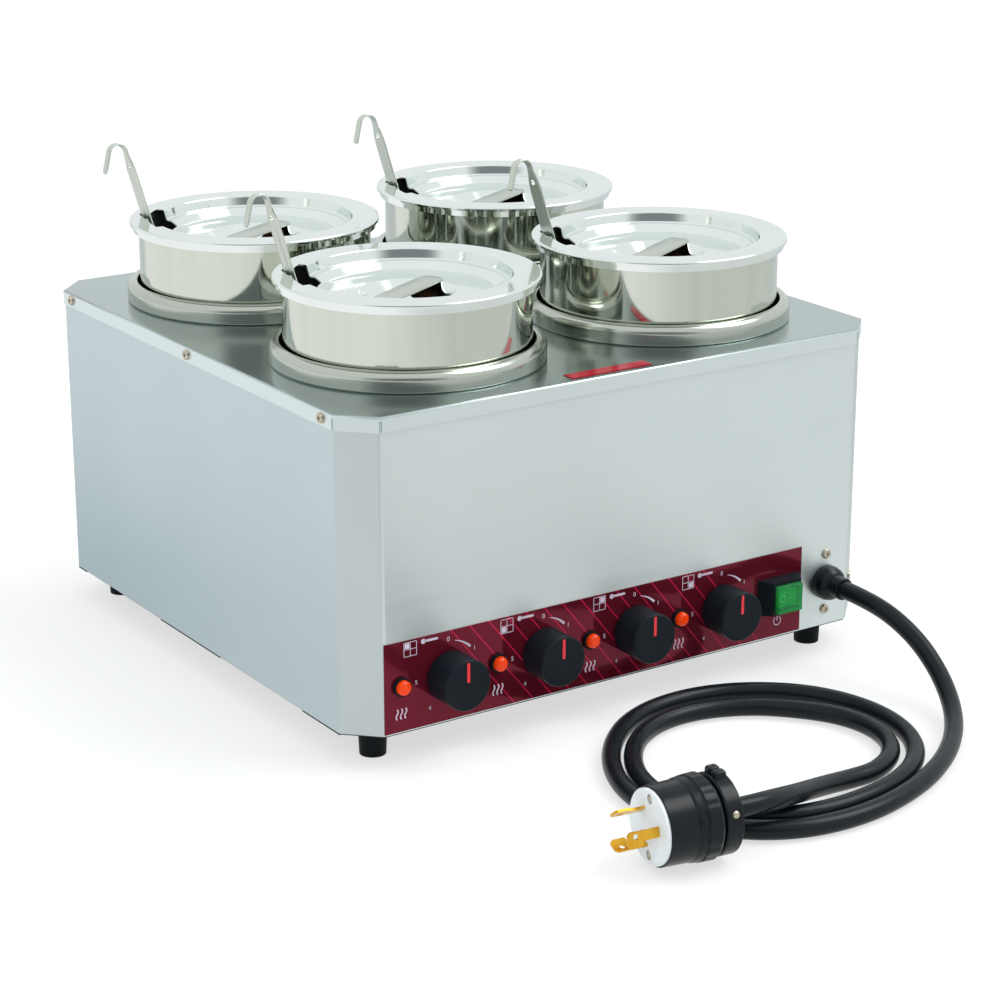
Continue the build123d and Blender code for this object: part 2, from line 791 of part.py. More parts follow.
def make_blades():
    """Three curved-pattern locking blades with hooked tips, on a circle round the plug's axis."""
    half_neck = blade_neck / 2
    tip = blade_length - blade_tip
    edge = [(0, -half_neck), (tip, -half_neck), (blade_length, -half_neck + blade_tip)]
    top = blade_width - half_neck
    hook = [(blade_length, top - blade_tip), (tip, top), (blade_neck_length, top), (blade_neck_length, half_neck)]
    blade = extrude(make_face(Polyline(*edge, *hook, (0, half_neck), close=True)), blade_sheet / 2, both=True)
    blade -= Pos(blade_length - blade_hole_from_tip, 0, 0) * Cylinder(blade_hole_radius, 2 * blade_sheet)
    face = -plug_clamp_length - plug_body_length - plug_face_depth
    blades = []
    for turn in blade_turns:
        out = (0, math.cos(math.radians(turn)), math.sin(math.radians(turn)))
        root = (face, blade_circle * out[1], blade_circle * out[2])
        seat = Plane(origin=root, x_dir=(-1, 0, 0), z_dir=out)
        blades.append(plug_place * (seat * blade))
    return blades


def make_foot(x, y):
    """Tapered rubber foot with a bore for its screw."""
    foot = taper((x, y, foot_height), (0, 0, -1), foot_top_radius, foot_bottom_radius, foot_height)
    foot -= rod((x, y, 0), (0, 0, 1), foot_bore_radius, foot_bore_depth)
    return foot - rod((x, y, 0), (0, 0, 1), screw_radius + hole_gap, foot_height)


def make_foot_screw(x, y):
    """Screw up through a foot and the bottom cover, with its nut."""
    length = foot_height - foot_bore_depth + sheet + nut_height
    bolt = screw((x, y, foot_bore_depth), (0, 0, -1), length)
    nut = Pos(x, y, panel_bottom) * extrude(RegularPolygon(nut_radius, 6), nut_height)
    nut -= rod((x, y, panel_bottom), (0, 0, 1), screw_radius + running_gap, nut_height)
    return [bolt, nut]


def make_terminal_block():
    """Terminal block on the bottom cover behind the gland, with three open slots for the wires."""
    half = terminal_length / 2
    middle = front_inside + terminal_setback
    left = gland_x - half
    terminal = block((left, middle - terminal_width / 2, panel_bottom),
                     (left + terminal_length, middle + terminal_width / 2, panel_bottom + terminal_height))
    pitch = terminal_length / 3
    for n in range(3):
        x = left + pitch * (n + 0.5)
        terminal -= block((x - terminal_slot / 2, middle - terminal_width / 2, panel_bottom + terminal_height / 2),
                          (x + terminal_slot / 2, middle + terminal_width / 2, panel_bottom + terminal_height))
    return terminal


def make_wires():
    """Wires from each thermostat to its heater, from the switch to the terminal block and from there to the gland."""
    wires = []
    back = front_inside + thermostat_depth
    pin_end = heater_top - heater_thickness - heater_pin_length
    for n, (x, well) in enumerate(zip(knob_places, well_places)):
        level = wire_level + n * wire_level_step
        start = (x + wire_offset, back, level)
        turn = (x + wire_offset, back + wire_run, level)
        pin = (well[0] + heater_pin_offset, well[1])
        wires.append(tube([start, turn, (*pin, level), (*pin, pin_end)], wire_bend, wire_radius))
    middle = front_inside + terminal_setback
    slot_level = panel_bottom + terminal_height / 2 + wire_radius + rest_gap
    switch_back = label_front + switch_body_depth
    left_slot = gland_x - terminal_length / 3
    run_end = middle - terminal_width / 2 - wire_run
    wires.append(tube([(switch_x, switch_back, control_height), (switch_x, switch_back + wire_run, control_height),
                       (left_slot, run_end, slot_level), (left_slot, middle, slot_level)], wire_bend, wire_radius))
    barrel_end = front_inside + gland_barrel_length
    wires.append(tube([(gland_x, barrel_end, control_height), (gland_x, barrel_end + wire_run, control_height),
                       (gland_x, run_end, slot_level), (gland_x, middle, slot_level)], wire_bend, wire_radius))
    return wires


def at_wells(shape):
    """Copies of a shape, made round the origin, at the four wells."""
    return [Pos(x, y, 0) * shape for x, y in well_places]


cord_bends = largest_bends(cord_route)
power_cord = tube(cord_route, cord_bends, cord_radius)

nodes = {
    "deck": make_deck(),
    "front_panel": make_front_panel(),
    "rear_panel": Rot(0, 0, 180) * make_end_panel(),
    "left_panel": make_side_panel(-1),
    "right_panel": make_side_panel(1),
    "bottom_cover": make_bottom_cover(),
    "well_heaters": at_wells(make_heater()),
    "insulation": at_wells(make_insulation()),
    "thermostats": [make_thermostat(x) for x in knob_places],
    "capillaries": [make_capillary(x, well) for x, well in zip(knob_places, well_places)],
    "pilot_lamps": [make_lamp(x - lamp_offset) for x in knob_places],
    "lamp_lenses": [make_lens(x - lamp_offset) for x in knob_places],
    "switch_housing": make_switch_housing(),
    "switch_rocker": make_rocker(),
    "switch_cover": make_switch_cover(),
    "labels": make_labels(),
    "cord_gland": make_gland(),
    "gland_nut": make_gland_nut(),
    "power_cord": power_cord,
    "plug_clamp": make_plug_clamp(),
    "plug_body": make_plug_body(),
    "plug_face": make_plug_face(),
    "plug_blades": make_blades(),
    "feet": [make_foot(x, y) for x, y in feet_places],
    "foot_screws": [piece for x, y in feet_places for piece in make_foot_screw(x, y)],
    "cover_screws": [screw(*spot, screw_length) for spot in lip_screws + plate_screws + [chamfer_screw]],
    "terminal_block": make_terminal_block(),
    "wiring": make_wires(),
}
repeated = {
    "well": at_wells(make_well()),
    "collar_ring": at_wells(make_collar_ring()),
    "inset_pot": at_wells(make_pot()),
    "lid": at_wells(make_lid()),
    "lid_strap": at_wells(make_strap()),
    "ladle": at_wells(make_ladle()),
    "knob": [make_knob(x) for x in knob_places],
    "knob_shaft": [make_shaft(x) for x in knob_places],
}
for name, copies in repeated.items():
    for number, copy in enumerate(copies, start=1):
        nodes[f"{name}_{number}"] = copy

for name, shape in nodes.items():
    solids = shape if isinstance(shape, list) else [shape]
    export_step(Compound(children=solids), f"parts/{name}.step")

cord_length = FilletPolyline(*cord_route, radius=cord_bends).length
cord_section = math.pi * cord_radius ** 2
print("cord bend radii", [round(radius) for radius in cord_bends])
print("cord length", round(cord_length), "volume over section times length",
      round(power_cord.volume / (cord_section * cord_length), 4))
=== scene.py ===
"""Looks of the countertop food warmer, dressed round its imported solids."""
import math

import bmesh
import bpy
import numpy as np
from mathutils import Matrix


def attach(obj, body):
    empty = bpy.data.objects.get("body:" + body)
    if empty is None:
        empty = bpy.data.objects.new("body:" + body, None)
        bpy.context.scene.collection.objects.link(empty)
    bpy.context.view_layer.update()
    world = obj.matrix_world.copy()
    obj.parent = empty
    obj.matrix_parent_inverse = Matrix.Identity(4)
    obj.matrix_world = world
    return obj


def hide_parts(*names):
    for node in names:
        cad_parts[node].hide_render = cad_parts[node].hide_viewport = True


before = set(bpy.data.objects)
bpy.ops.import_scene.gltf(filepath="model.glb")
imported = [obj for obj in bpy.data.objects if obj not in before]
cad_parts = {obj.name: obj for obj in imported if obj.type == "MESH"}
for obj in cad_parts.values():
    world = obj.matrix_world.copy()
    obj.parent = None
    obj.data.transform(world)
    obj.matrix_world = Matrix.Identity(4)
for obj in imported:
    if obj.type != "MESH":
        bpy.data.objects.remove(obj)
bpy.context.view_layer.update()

MM = 0.001
scene = bpy.context.scene

# Camera at the photograph's viewing angle: metres, degrees down and degrees round
CAMERA_PLACE = (-1.0794, -1.6754, 0.7526)
CAMERA_DOWN = 18.28
CAMERA_ROUND = -33.78
camera = bpy.data.objects.new("camera", bpy.data.cameras.new("camera"))
scene.collection.objects.link(camera)
camera.location = CAMERA_PLACE
camera.rotation_euler = (math.radians(90 - CAMERA_DOWN), 0, math.radians(CAMERA_ROUND))
camera.data.lens = 98.05
scene.camera = camera
scene.view_settings.view_transform = "Standard"

# Places from the solids, in millimetres
FOUR = range(1, 5)
WELL_REACH = 109.0
WELLS = [(x, y) for x in (-WELL_REACH, WELL_REACH) for y in (WELL_REACH, -WELL_REACH)]
DECK = 250.0
LID_DISH = 297.9
LID_TOP = 310.9
FRONT_FACE = -225.0
LABEL_FACE = -225.5
CONTROL_ROW = 59.0
KNOBS = np.linspace(-151.5, 83.2, 4).tolist()
KNOB_FACE = 25.0
LAMPS = [x - 38.0 for x in KNOBS]
SWITCH = 136.5
GLAND = 182.0
# Thickness of the pressed sheet, and the gap below which two points of a piece are one
SHEET = 1.0
WELD = 0.002

# Cord route, with heights above the worktop
CORD_RADIUS = 6.65
CORD_ROUTE = [
    (182, -247, 59), (182, -270, 59), (186, -296, 53), (190, -320, 40.5), (188.5, -342, 27),
    (181, -363, 16.5), (166, -386, 9.8), (144, -409, 7.3), (117, -430, 6.9), (87, -447.5, 6.9),
    (55, -460, 6.9), (23, -467.5, 6.9), (-8, -468.5, 6.9), (-37, -463, 6.9), (-61, -450, 6.9),
    (-80, -431, 6.9), (-93, -407, 6.9), (-98, -380, 6.9), (-95, -353, 6.9), (-86, -328, 6.9),
    (-72, -304, 6.9), (-54, -283, 6.9), (-32, -265, 6.9), (-7, -253, 6.9), (20, -248, 6.9),
    (46, -249.5, 6.9), (70, -257, 6.9), (92, -270, 6.9), (111, -288, 6.9), (124, -311, 6.9),
    (130.5, -337, 6.9), (130, -364, 6.9), (122, -390, 6.9), (107, -413, 6.9), (86, -431, 6.9),
    (61, -442.5, 6.9), (33, -449, 6.9), (5, -451, 6.9), (-21, -447.5, 6.9), (-43, -437.5, 6.9),
    (-62, -422, 6.9), (-75, -401, 6.9), (-81, -378, 6.9), (-79, -354, 6.9), (-71, -331, 6.9),
    (-57, -309, 6.9), (-39, -290, 6.9), (-17, -277, 6.9), (7, -271, 6.9), (31, -272.5, 6.9),
    (54, -280.5, 6.9), (76, -294.5, 6.9), (100, -322.5, 6.9), (109.5, -345.5, 6.9), (110, -370, 6.9),
    (101.5, -393, 6.9), (84.5, -411, 6.9), (61.5, -421.5, 6.9), (38.5, -423.5, 8.2), (16, -427.5, 11.4),
    (-5, -434.5, 15.8), (-24, -442.5, 20.6), (-41, -449, 25), (-57.5, -453.5, 28.2),
    (-74.14, -454.76, 29.5), (-92, -452.5, 29.5),
]
# The plug's cord end is the route's last point, and its axis is turned a little from X
PLUG_REAR = CORD_ROUTE[-1]
PLUG_TURN = math.radians(7.2)

# Sockets of a Mix node that mixes colours, and the settings that make it one
SHARE, FIRST, SECOND, MIXED = 0, 6, 7, 2
COLOURS = {"data_type": "RGBA", "clamp_factor": True}


def srgb(code):
    """A hex colour as linear light: c/12.92 below 0.04045, and ((c + 0.055)/1.055)^2.4 above it."""
    c = np.array([int(code[i:i + 2], 16) for i in (1, 3, 5)]) / 255
    return (*np.where(c <= 0.04045, c / 12.92, ((c + 0.055) / 1.055) ** 2.4).tolist(), 1.0)


def node(tree, kind, inputs=None, **settings):
    """Adds a node: a socket among the inputs is linked, anything else is set on the input itself."""
    made = tree.nodes.new(kind)
    for name, value in settings.items():
        setattr(made, name, value)
    for name, value in (inputs or {}).items():
        if isinstance(value, bpy.types.NodeSocket):
            tree.links.new(value, made.inputs[name])
        else:
            made.inputs[name].default_value = value
    return made


def begin(name):
    """A new material: its tree, its shader and the Object coordinates of its piece."""
    material = bpy.data.materials.new(name)
    material.use_nodes = True
    tree = material.node_tree
    tree.nodes.clear()
    shader = node(tree, "ShaderNodeBsdfPrincipled")
    node(tree, "ShaderNodeOutputMaterial", {"Surface": shader.outputs["BSDF"]})
    return material, tree, shader, node(tree, "ShaderNodeTexCoord").outputs["Object"]


def dress(tree, shader, tone, gloss, height):
    """Links the nodes that make a finish's tone, gloss and relief to its shader."""
    tree.links.new(tone.outputs[MIXED], shader.inputs["Base Color"])
    tree.links.new(gloss.outputs["Result"], shader.inputs["Roughness"])
    tree.links.new(height.outputs["Normal"], shader.inputs["Normal"])


def per_metre(sizes):
    """The scale of a pattern whose sizes along X, Y and Z are in millimetres."""
    return [1 / (size * MM) for size in sizes]


def brushed_steel(name, grain, dark, light, rough, relief, spread=0.0):
    """Stainless sheet with a long brushed grain of the given sizes: streaks carry its tone, gloss and
    relief, a broad haze clouds its tone, and reflections spread across a level grain."""
    haze_size, grain_depth = 111.0, 0.05
    quarter_turn = 0.25
    material, tree, shader, place = begin(name)
    stretched = node(tree, "ShaderNodeMapping", {"Vector": place, "Scale": per_metre(grain)})
    streaks = node(tree, "ShaderNodeTexNoise", {"Vector": stretched.outputs["Vector"], "Scale": 1.0,
                                                "Detail": 3.0, "Roughness": 0.65}).outputs["Fac"]
    haze = node(tree, "ShaderNodeTexNoise", {"Vector": place, "Scale": 1 / (haze_size * MM), "Detail": 2.0})
    blend = node(tree, "ShaderNodeMath", {0: streaks, 1: haze.outputs["Fac"]}, operation="MULTIPLY")
    tone = node(tree, "ShaderNodeMix",
                {SHARE: blend.outputs[0], FIRST: srgb(dark), SECOND: srgb(light)}, **COLOURS)
    gloss = node(tree, "ShaderNodeMapRange", {"Value": streaks, "From Min": 0.25, "From Max": 0.75,
                                              "To Min": rough[0], "To Max": rough[1]})
    lines = node(tree, "ShaderNodeBump",
                 {"Height": streaks, "Strength": relief, "Distance": grain_depth * MM})
    dress(tree, shader, tone, gloss, lines)
    level = node(tree, "ShaderNodeTangent", direction_type="RADIAL", axis="Z")
    tree.links.new(level.outputs["Tangent"], shader.inputs["Tangent"])
    shader.inputs["Anisotropic"].default_value = spread
    shader.inputs["Anisotropic Rotation"].default_value = quarter_turn
    shader.inputs["Metallic"].default_value = 1.0
    return material


def buffed_steel(name, dark, light, waves, relief):
    """Steel buffed to a mirror: waves of the given sizes, left by the tool, carry its tone and relief,
    and faint buffing marks carry its gloss."""
    mark_size, wave_depth = 2.381, 0.4
    material, tree, shader, place = begin(name)
    stretched = node(tree, "ShaderNodeMapping", {"Vector": place, "Scale": per_metre(waves)})
    swell = node(tree, "ShaderNodeTexNoise",
                 {"Vector": stretched.outputs["Vector"], "Scale": 1.0, "Detail": 1.0}).outputs["Fac"]
    marks = node(tree, "ShaderNodeTexNoise",
                 {"Vector": place, "Scale": 1 / (mark_size * MM), "Detail": 4.0, "Roughness": 0.7})
    tone = node(tree, "ShaderNodeMix", {SHARE: swell, FIRST: srgb(dark), SECOND: srgb(light)}, **COLOURS)
    gloss = node(tree, "ShaderNodeMapRange",
                 {"Value": marks.outputs["Fac"], "From Min": 0.3, "From Max": 0.7,
                  "To Min": 0.045, "To Max": 0.10})
    height = node(tree, "ShaderNodeBump",
                  {"Height": swell, "Strength": relief, "Distance": wave_depth * MM})
    dress(tree, shader, tone, gloss, height)
    shader.inputs["Metallic"].default_value = 1.0
    return material


def grained(name, dark, light, rough, size, relief, metal=0.0, **sockets):
    """Moulded, cast or plated surface: a fine grain of the given size in mm varies its gloss and height,
    and patches about 17 grains across vary its tone."""
    patch_share = 0.06
    material, tree, shader, place = begin(name)
    grain = node(tree, "ShaderNodeTexNoise", {"Vector": place, "Scale": 1 / (size * MM), "Detail": 3.0,
                                              "Roughness": 0.6}).outputs["Fac"]
    patch = node(tree, "ShaderNodeTexNoise",
                 {"Vector": place, "Scale": patch_share / (size * MM), "Detail": 2.0})
    tone = node(tree, "ShaderNodeMix",
                {SHARE: patch.outputs["Fac"], FIRST: srgb(dark), SECOND: srgb(light)}, **COLOURS)
    gloss = node(tree, "ShaderNodeMapRange", {"Value": grain, "From Min": 0.3, "From Max": 0.7,
                                              "To Min": rough[0], "To Max": rough[1]})
    height = node(tree, "ShaderNodeBump",
                  {"Height": grain, "Strength": relief, "Distance": 0.1 * size * MM})
    dress(tree, shader, tone, gloss, height)
    shader.inputs["Metallic"].default_value = metal
    for socket, value in sockets.items():
        shader.inputs[socket.replace("_", " ")].default_value = value
    return material


# Grain lines are about 0.15 mm apart on the real sheet and are drawn 0.8 mm apart so that they show
GRAIN_LONG, GRAIN_WIDE = 83.3, 0.8
LEVEL_GRAIN = (GRAIN_LONG, GRAIN_LONG, GRAIN_WIDE)
# Front and rear: pale sheet brushed level, which smears what it reflects up and down into one even tone
PANEL_STEEL = brushed_steel("stainless_sheet_brushed_level", LEVEL_GRAIN, "#D8E2E2", "#E6F0F0",
                            (0.30, 0.38), 0.012, 0.75)
# Chamfers: the same sheet, a shade darker where it turns from the light
CHAMFER_STEEL = brushed_steel("stainless_sheet_brushed_chamfer", LEVEL_GRAIN, "#C9D2D2", "#D6DFDF",
                              (0.30, 0.38), 0.012, 0.75)
# Sides: the same sheet with painted shade, darker and bluer than the front, its reflections a little
# clearer
SHADED_SIDE_STEEL = brushed_steel("stainless_sheet_brushed_side_painted_shade", LEVEL_GRAIN, "#BFCDD0", "#CFDCDF",
                           (0.28, 0.36), 0.012, 0.5)
# Deck: the same sheet with painted shade, a darker tone than the panels for the dimmer things it reflects;
# brushed from side to side and glossier, so the rings and pots show in it
DECK_STEEL = brushed_steel("stainless_sheet_brushed_deck_painted_shade", (GRAIN_LONG, GRAIN_WIDE, GRAIN_LONG),
                           "#A8B4B4", "#BAC6C6", (0.15, 0.23), 0.03)
# Rings: polished on a lathe, so their lines run round them; the lid straps are polished alike
RING_STEEL = brushed_steel("stainless_ring_turned", (50, 50, 0.625), "#B8BDB4", "#D2D6CC",
                           (0.14, 0.22), 0.06)
# Ladles: brushed along the handle after pressing, so they stay pale where the lids turn dark
LADLE_STEEL = brushed_steel("stainless_strip_brushed", (0.667, 0.667, GRAIN_LONG), "#C9CFC6", "#E2E6DE",
                            (0.34, 0.44), 0.03)
# Pots: a drawn wall, a little green-grey, its 9 mm flutes breaking reflections into upright bands
POT_STEEL = buffed_steel("stainless_drawn_and_buffed", "#CBD0C5", "#D6DAD0", (9.09, 9.09, 166.7), 0.07)
# Lids and pot rims: pressed sheet, cooler and brighter, with waves that bend its reflections
LID_STEEL = buffed_steel("stainless_pressed_and_buffed", "#E2E9E6", "#ECF2F0", (35.71, 35.71, 35.71), 0.08)
# Insides of the pots and wells: dulled by washing, so they hold some light
INSIDE_STEEL = grained("stainless_dulled_by_washing", "#8F958F", "#ABB0A8", (0.35, 0.48), 1.4, 0.1, 0.55)
# Undersides of the lid straps: painted shade, dark brown, which the polished recess under each strap shows
# as a dark reflection
STRAP_UNDERSIDE_SHADE = grained("strap_underside_painted_shade", "#20140C", "#3C2818", (0.25, 0.4), 1.2, 0.1, 1.0)
# Zinc-plated screws: bright, a little warm and uneven
PLATED_STEEL = grained("steel_screw_zinc_plated", "#A99C86", "#D8D0C0", (0.18, 0.34), 0.8, 0.2, 1.0)
# Knobs and shroud: moulded phenolic, blue-black with a fine spark-eroded grain that spreads its highlights
BLACK_PLASTIC = grained("phenolic_moulded_black", "#0C141A", "#121C23", (0.42, 0.56), 0.5, 0.25,
                        Specular_IOR_Level=0.15)
# Plug shell and gland: moulded nylon, blacker and a little glossier
BLACK_NYLON = grained("nylon_moulded_black", "#0B1014", "#12191E", (0.20, 0.30), 0.6, 0.12,
                      Specular_IOR_Level=0.22)
# Feet: dull moulded rubber that drinks the light
FOOT_RUBBER = grained("rubber_moulded_black", "#090D10", "#101619", (0.50, 0.62), 0.9, 0.2,
                      Specular_IOR_Level=0.12)
# Bottom cover: sheet painted dark as shade, a painted shadow line under the panels
SHADED_BOTTOM_SHEET = grained("bottom_sheet_painted_shade", "#22272A", "#31383B", (0.40, 0.52), 1.5, 0.15,
                       Specular_IOR_Level=0.2)
# Cord jacket: extruded rubber with a soft sheen
RUBBER = grained("rubber_extruded_black", "#0B1115", "#121A20", (0.24, 0.34), 0.9, 0.15,
                 Specular_IOR_Level=0.22)
# Plug face and rocker signs: moulded white nylon, slightly blue
WHITE_NYLON = grained("nylon_moulded_white", "#D5DCE1", "#E6ECEF", (0.35, 0.45), 0.7, 0.1)
# Blades: brass strip, stamped and tumbled to a soft yellow gloss
BRASS = grained("brass_strip_stamped", "#D89A1C", "#F6C44A", (0.18, 0.30), 0.7, 0.2, 1.0)
# Capillaries: drawn copper tube, dull pink
COPPER = grained("copper_tube_drawn", "#A8674A", "#C98A66", (0.25, 0.38), 0.7, 0.15, 1.0)
# Heater plates: cast aluminium, grey and sandy
HEATER_METAL = grained("aluminium_cast", "#8E9092", "#B4B6B8", (0.45, 0.6), 1.5, 0.5, 1.0)
# Insulation: felted mineral fibre, cream and quite without gloss
FIBRE = grained("mineral_fibre_felted", "#CFC7AE", "#EFE9D8", (0.85, 0.95), 1.2, 0.9)
# Thermostats and terminal block: moulded melamine, ivory with a slight gloss
PALE_PLASTIC = grained("melamine_moulded_ivory", "#D2CBB6", "#E6E0CF", (0.4, 0.5), 0.7, 0.15)
# Wires: extruded silicone, brick red
WIRE_COVER = grained("silicone_wire_cover", "#7D1418", "#A11E22", (0.35, 0.45), 0.7, 0.15)
# Lamp lenses: clear moulded acrylic dyed orange, faintly lit from within
ORANGE_LENS = grained("acrylic_lens_orange", "#D83000", "#F04400", (0.10, 0.18), 0.9, 0.1,
                      Specular_IOR_Level=0.25, Transmission_Weight=0.25, Emission_Color=srgb("#FF4A00"),
                      Emission_Strength=0.2)
# Rocker: moulded polycarbonate, a full green with a little of its lamp's light
GREEN_ROCKER = grained("polycarbonate_rocker_green", "#0C8A30", "#149E3C", (0.22, 0.32), 0.8, 0.1,
                       Emission_Color=srgb("#14B040"), Emission_Strength=0.15)
# Rocker's hood: thin soft vinyl, clear green and wet-looking, with a faint painted glow standing for the
# rocker lamp's light
GREEN_HOOD = grained("vinyl_hood_green_clear", "#5CC886", "#74D69A", (0.04, 0.10), 1.0, 0.05,
                     Transmission_Weight=0.85, IOR=1.12, Emission_Color=srgb("#2CCB58"),
                     Emission_Strength=0.05)
# Print on the label: screened ink, white that takes some of the maroon round it
WHITE_INK = grained("screen_ink_white", "#BDB0C2", "#D2C8D8", (0.4, 0.5), 0.6, 0.1)
# Knob pointers: red paint filled into a groove
RED_PAINT = grained("paint_filled_red", "#D2202C", "#E23440", (0.35, 0.45), 0.6, 0.1)


def printed_film():
    """Polycarbonate film printed on its back: maroon with thin slanting lines, drawn where the fraction
    of a slanting distance is below the line's share of the pitch, and red above the level of the deck's
    strip."""
    pitch, lean, line_share = 15.4 * MM, 0.803, 0.08
    first_line, last_line = -5.2, 9.5
    strip_level = 200 * MM
    cloud_size = 33.3
    material, tree, shader, place = begin("polycarbonate_label_back_printed")
    slant = node(tree, "ShaderNodeVectorMath", {0: place, 1: (1 / pitch, 0, lean / pitch)},
                 operation="DOT_PRODUCT").outputs["Value"]
    part = node(tree, "ShaderNodeMath", {0: slant}, operation="FRACT")
    line = node(tree, "ShaderNodeMath", {0: part.outputs[0], 1: line_share}, operation="LESS_THAN")
    after = node(tree, "ShaderNodeMath", {0: slant, 1: first_line}, operation="GREATER_THAN")
    before = node(tree, "ShaderNodeMath", {0: slant, 1: last_line}, operation="LESS_THAN")
    inside = node(tree, "ShaderNodeMath", {0: after.outputs[0], 1: before.outputs[0]}, operation="MULTIPLY")
    drawn = node(tree, "ShaderNodeMath", {0: line.outputs[0], 1: inside.outputs[0]}, operation="MULTIPLY")
    cloud = node(tree, "ShaderNodeTexNoise",
                 {"Vector": place, "Scale": 1 / (cloud_size * MM), "Detail": 2.0}).outputs["Fac"]
    ground = node(tree, "ShaderNodeMix",
                  {SHARE: cloud, FIRST: srgb("#4A0E1A"), SECOND: srgb("#541320")}, **COLOURS)
    printed = node(tree, "ShaderNodeMix", {SHARE: drawn.outputs[0], FIRST: ground.outputs[MIXED],
                                           SECOND: srgb("#AC1C40")}, **COLOURS)
    axes = node(tree, "ShaderNodeSeparateXYZ", {"Vector": place})
    high = node(tree, "ShaderNodeMath", {0: axes.outputs["Z"], 1: strip_level}, operation="GREATER_THAN")
    colour = node(tree, "ShaderNodeMix", {SHARE: high.outputs[0], FIRST: printed.outputs[MIXED],
                                          SECOND: srgb("#A8122C")}, **COLOURS)
    gloss = node(tree, "ShaderNodeMapRange", {"Value": cloud, "To Min": 0.05, "To Max": 0.10})
    tree.links.new(colour.outputs[MIXED], shader.inputs["Base Color"])
    tree.links.new(gloss.outputs["Result"], shader.inputs["Roughness"])
    # The metallic red ink under the film tints its reflection
    shader.inputs["Specular IOR Level"].default_value = 1.0
    shader.inputs["Specular Tint"].default_value = srgb("#FF6080")
    return material


# Label and deck strip: a glossy clear face over flat ink
PRINTED_FILM = printed_film()


def grid_faces(rows, columns, wrap, keep=None):
    """Quads of a grid: cell (i, j) joins its corners, and a wrapped grid's last column meets its first."""
    i, j = np.meshgrid(np.arange(rows - 1), np.arange(columns if wrap else columns - 1), indexing="ij")
    k = (j + 1) % columns
    here, next_row = i * columns, (i + 1) * columns
    quads = np.stack([here + j, here + k, next_row + k, next_row + j], axis=-1)
    return quads[keep] if keep is not None else quads.reshape(-1, 4)


def add_piece(name, form, material, body):
    """Puts a mesh or a curve into the scene in one finish, as a piece that rides on a body."""
    form.materials.append(material)
    piece = bpy.data.objects.new(name, form)
    scene.collection.objects.link(piece)
    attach(piece, body)
    return piece


def shell(name, sheets, material, body, smooth=35):
    """One closed piece from several grids of points in mm: joined where they touch, facing outward, and
    smooth up to an angle in degrees."""
    points, faces, count = [], [], 0
    for grid, wrap, *keep in sheets:
        rows, columns = grid.shape[:2]
        points.append(grid.reshape(-1, 3))
        faces.append(grid_faces(rows, columns, wrap, *keep) + count)
        count += rows * columns
    mesh = bpy.data.meshes.new(name)
    mesh.from_pydata(np.concatenate(points) * MM, [], np.concatenate(faces).tolist())
    form = bmesh.new()
    form.from_mesh(mesh)
    bmesh.ops.remove_doubles(form, verts=form.verts, dist=WELD * MM)
    bmesh.ops.dissolve_degenerate(form, edges=form.edges, dist=WELD / 2 * MM)
    bmesh.ops.recalc_face_normals(form, faces=form.faces)
    form.to_mesh(mesh)
    form.free()
    mesh.shade_smooth()
    mesh.set_sharp_from_angle(angle=math.radians(smooth))
    return add_piece(name, mesh, material, body)


def rounded_copy(name, part, material, radius, pick):
    """A sheet part again, its triangles merged into flats, with the folds that pick chooses rounded to
    the bend of the sheet."""
    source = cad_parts[part]
    form = bmesh.new()
    form.from_mesh(source.data)
    form.transform(source.matrix_world)
    bmesh.ops.remove_doubles(form, verts=form.verts, dist=WELD * MM)
    bmesh.ops.dissolve_limit(form, angle_limit=math.radians(1), verts=form.verts, edges=form.edges)
    folds = [edge for edge in form.edges if len(edge.link_faces) == 2 and pick(edge)]
    for face in form.faces:
        face.smooth = False
    made = bmesh.ops.bevel(form, geom=folds, offset=radius * MM, offset_type="OFFSET", segments=5,
                           profile=0.5, affect="EDGES")
    for face in made["faces"]:
        face.smooth = True
    bmesh.ops.triangulate(form, faces=form.faces)
    mesh = bpy.data.meshes.new(name)
    form.to_mesh(mesh)
    form.free()
    piece = add_piece(name, mesh, material, "base")
    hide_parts(part)
    return piece


def deck_fold(edge):
    """The level folds between the top of the deck and its lip, clear of the holes over the wells."""
    edge_reach, corner_reach = 215 * MM, 400 * MM
    low, high = (corner.co for corner in edge.verts)
    x, y, z = (low + high) / 2
    outer = max(abs(x), abs(y)) > edge_reach or abs(x) + abs(y) > corner_reach
    level = abs(low.z - high.z) < 0.01 * MM
    return outer and z > (DECK - 0.5) * MM and level and edge.calc_face_angle() > 1


def panel_fold(edge):
    """The upright folds where the sheet turns by about 45 degrees into its chamfers."""
    way = edge.verts[0].co - edge.verts[1].co
    return abs(way.z) > 0.99 * way.length and 0.6 < edge.calc_face_angle() < 1.0


def paint_facing(piece, material, choose):
    """Gives a second material to the faces of a piece whose normals (x, y, z) the rule chooses."""
    piece.data.materials.append(material)
    normals = np.empty(3 * len(piece.data.polygons))
    piece.data.polygons.foreach_get("normal", normals)
    chosen = choose(*normals.reshape(-1, 3).T)
    piece.data.polygons.foreach_set("material_index", chosen.astype(np.int32))


def paint_cup(piece, inside_finish, rim_finish, centre, rim):
    """Gives a cup's faces that look toward its axis or lie on its floor a second finish, and its faces
    above the rim's foot a third."""
    inward, floor_below = -20 * MM, 200 * MM
    faces = piece.data.polygons
    spot, normal = np.empty((2, len(faces) * 3))
    faces.foreach_get("center", spot)
    faces.foreach_get("normal", normal)
    spot, normal = spot.reshape(-1, 3), normal.reshape(-1, 3)
    away = np.sum((spot[:, :2] - np.array(centre) * MM) * normal[:, :2], axis=1)
    inside = (away < inward) | ((normal[:, 2] > 0.5) & (spot[:, 2] < floor_below))
    piece.data.materials.append(inside_finish)
    piece.data.materials.append(rim_finish)
    faces.foreach_set("material_index", np.where(spot[:, 2] > rim * MM, 2, inside).astype(np.int32))


def around(columns):
    """Even angles once round a circle, the last of them one step short of the first."""
    return np.linspace(0, 2 * math.pi, columns, endpoint=False)


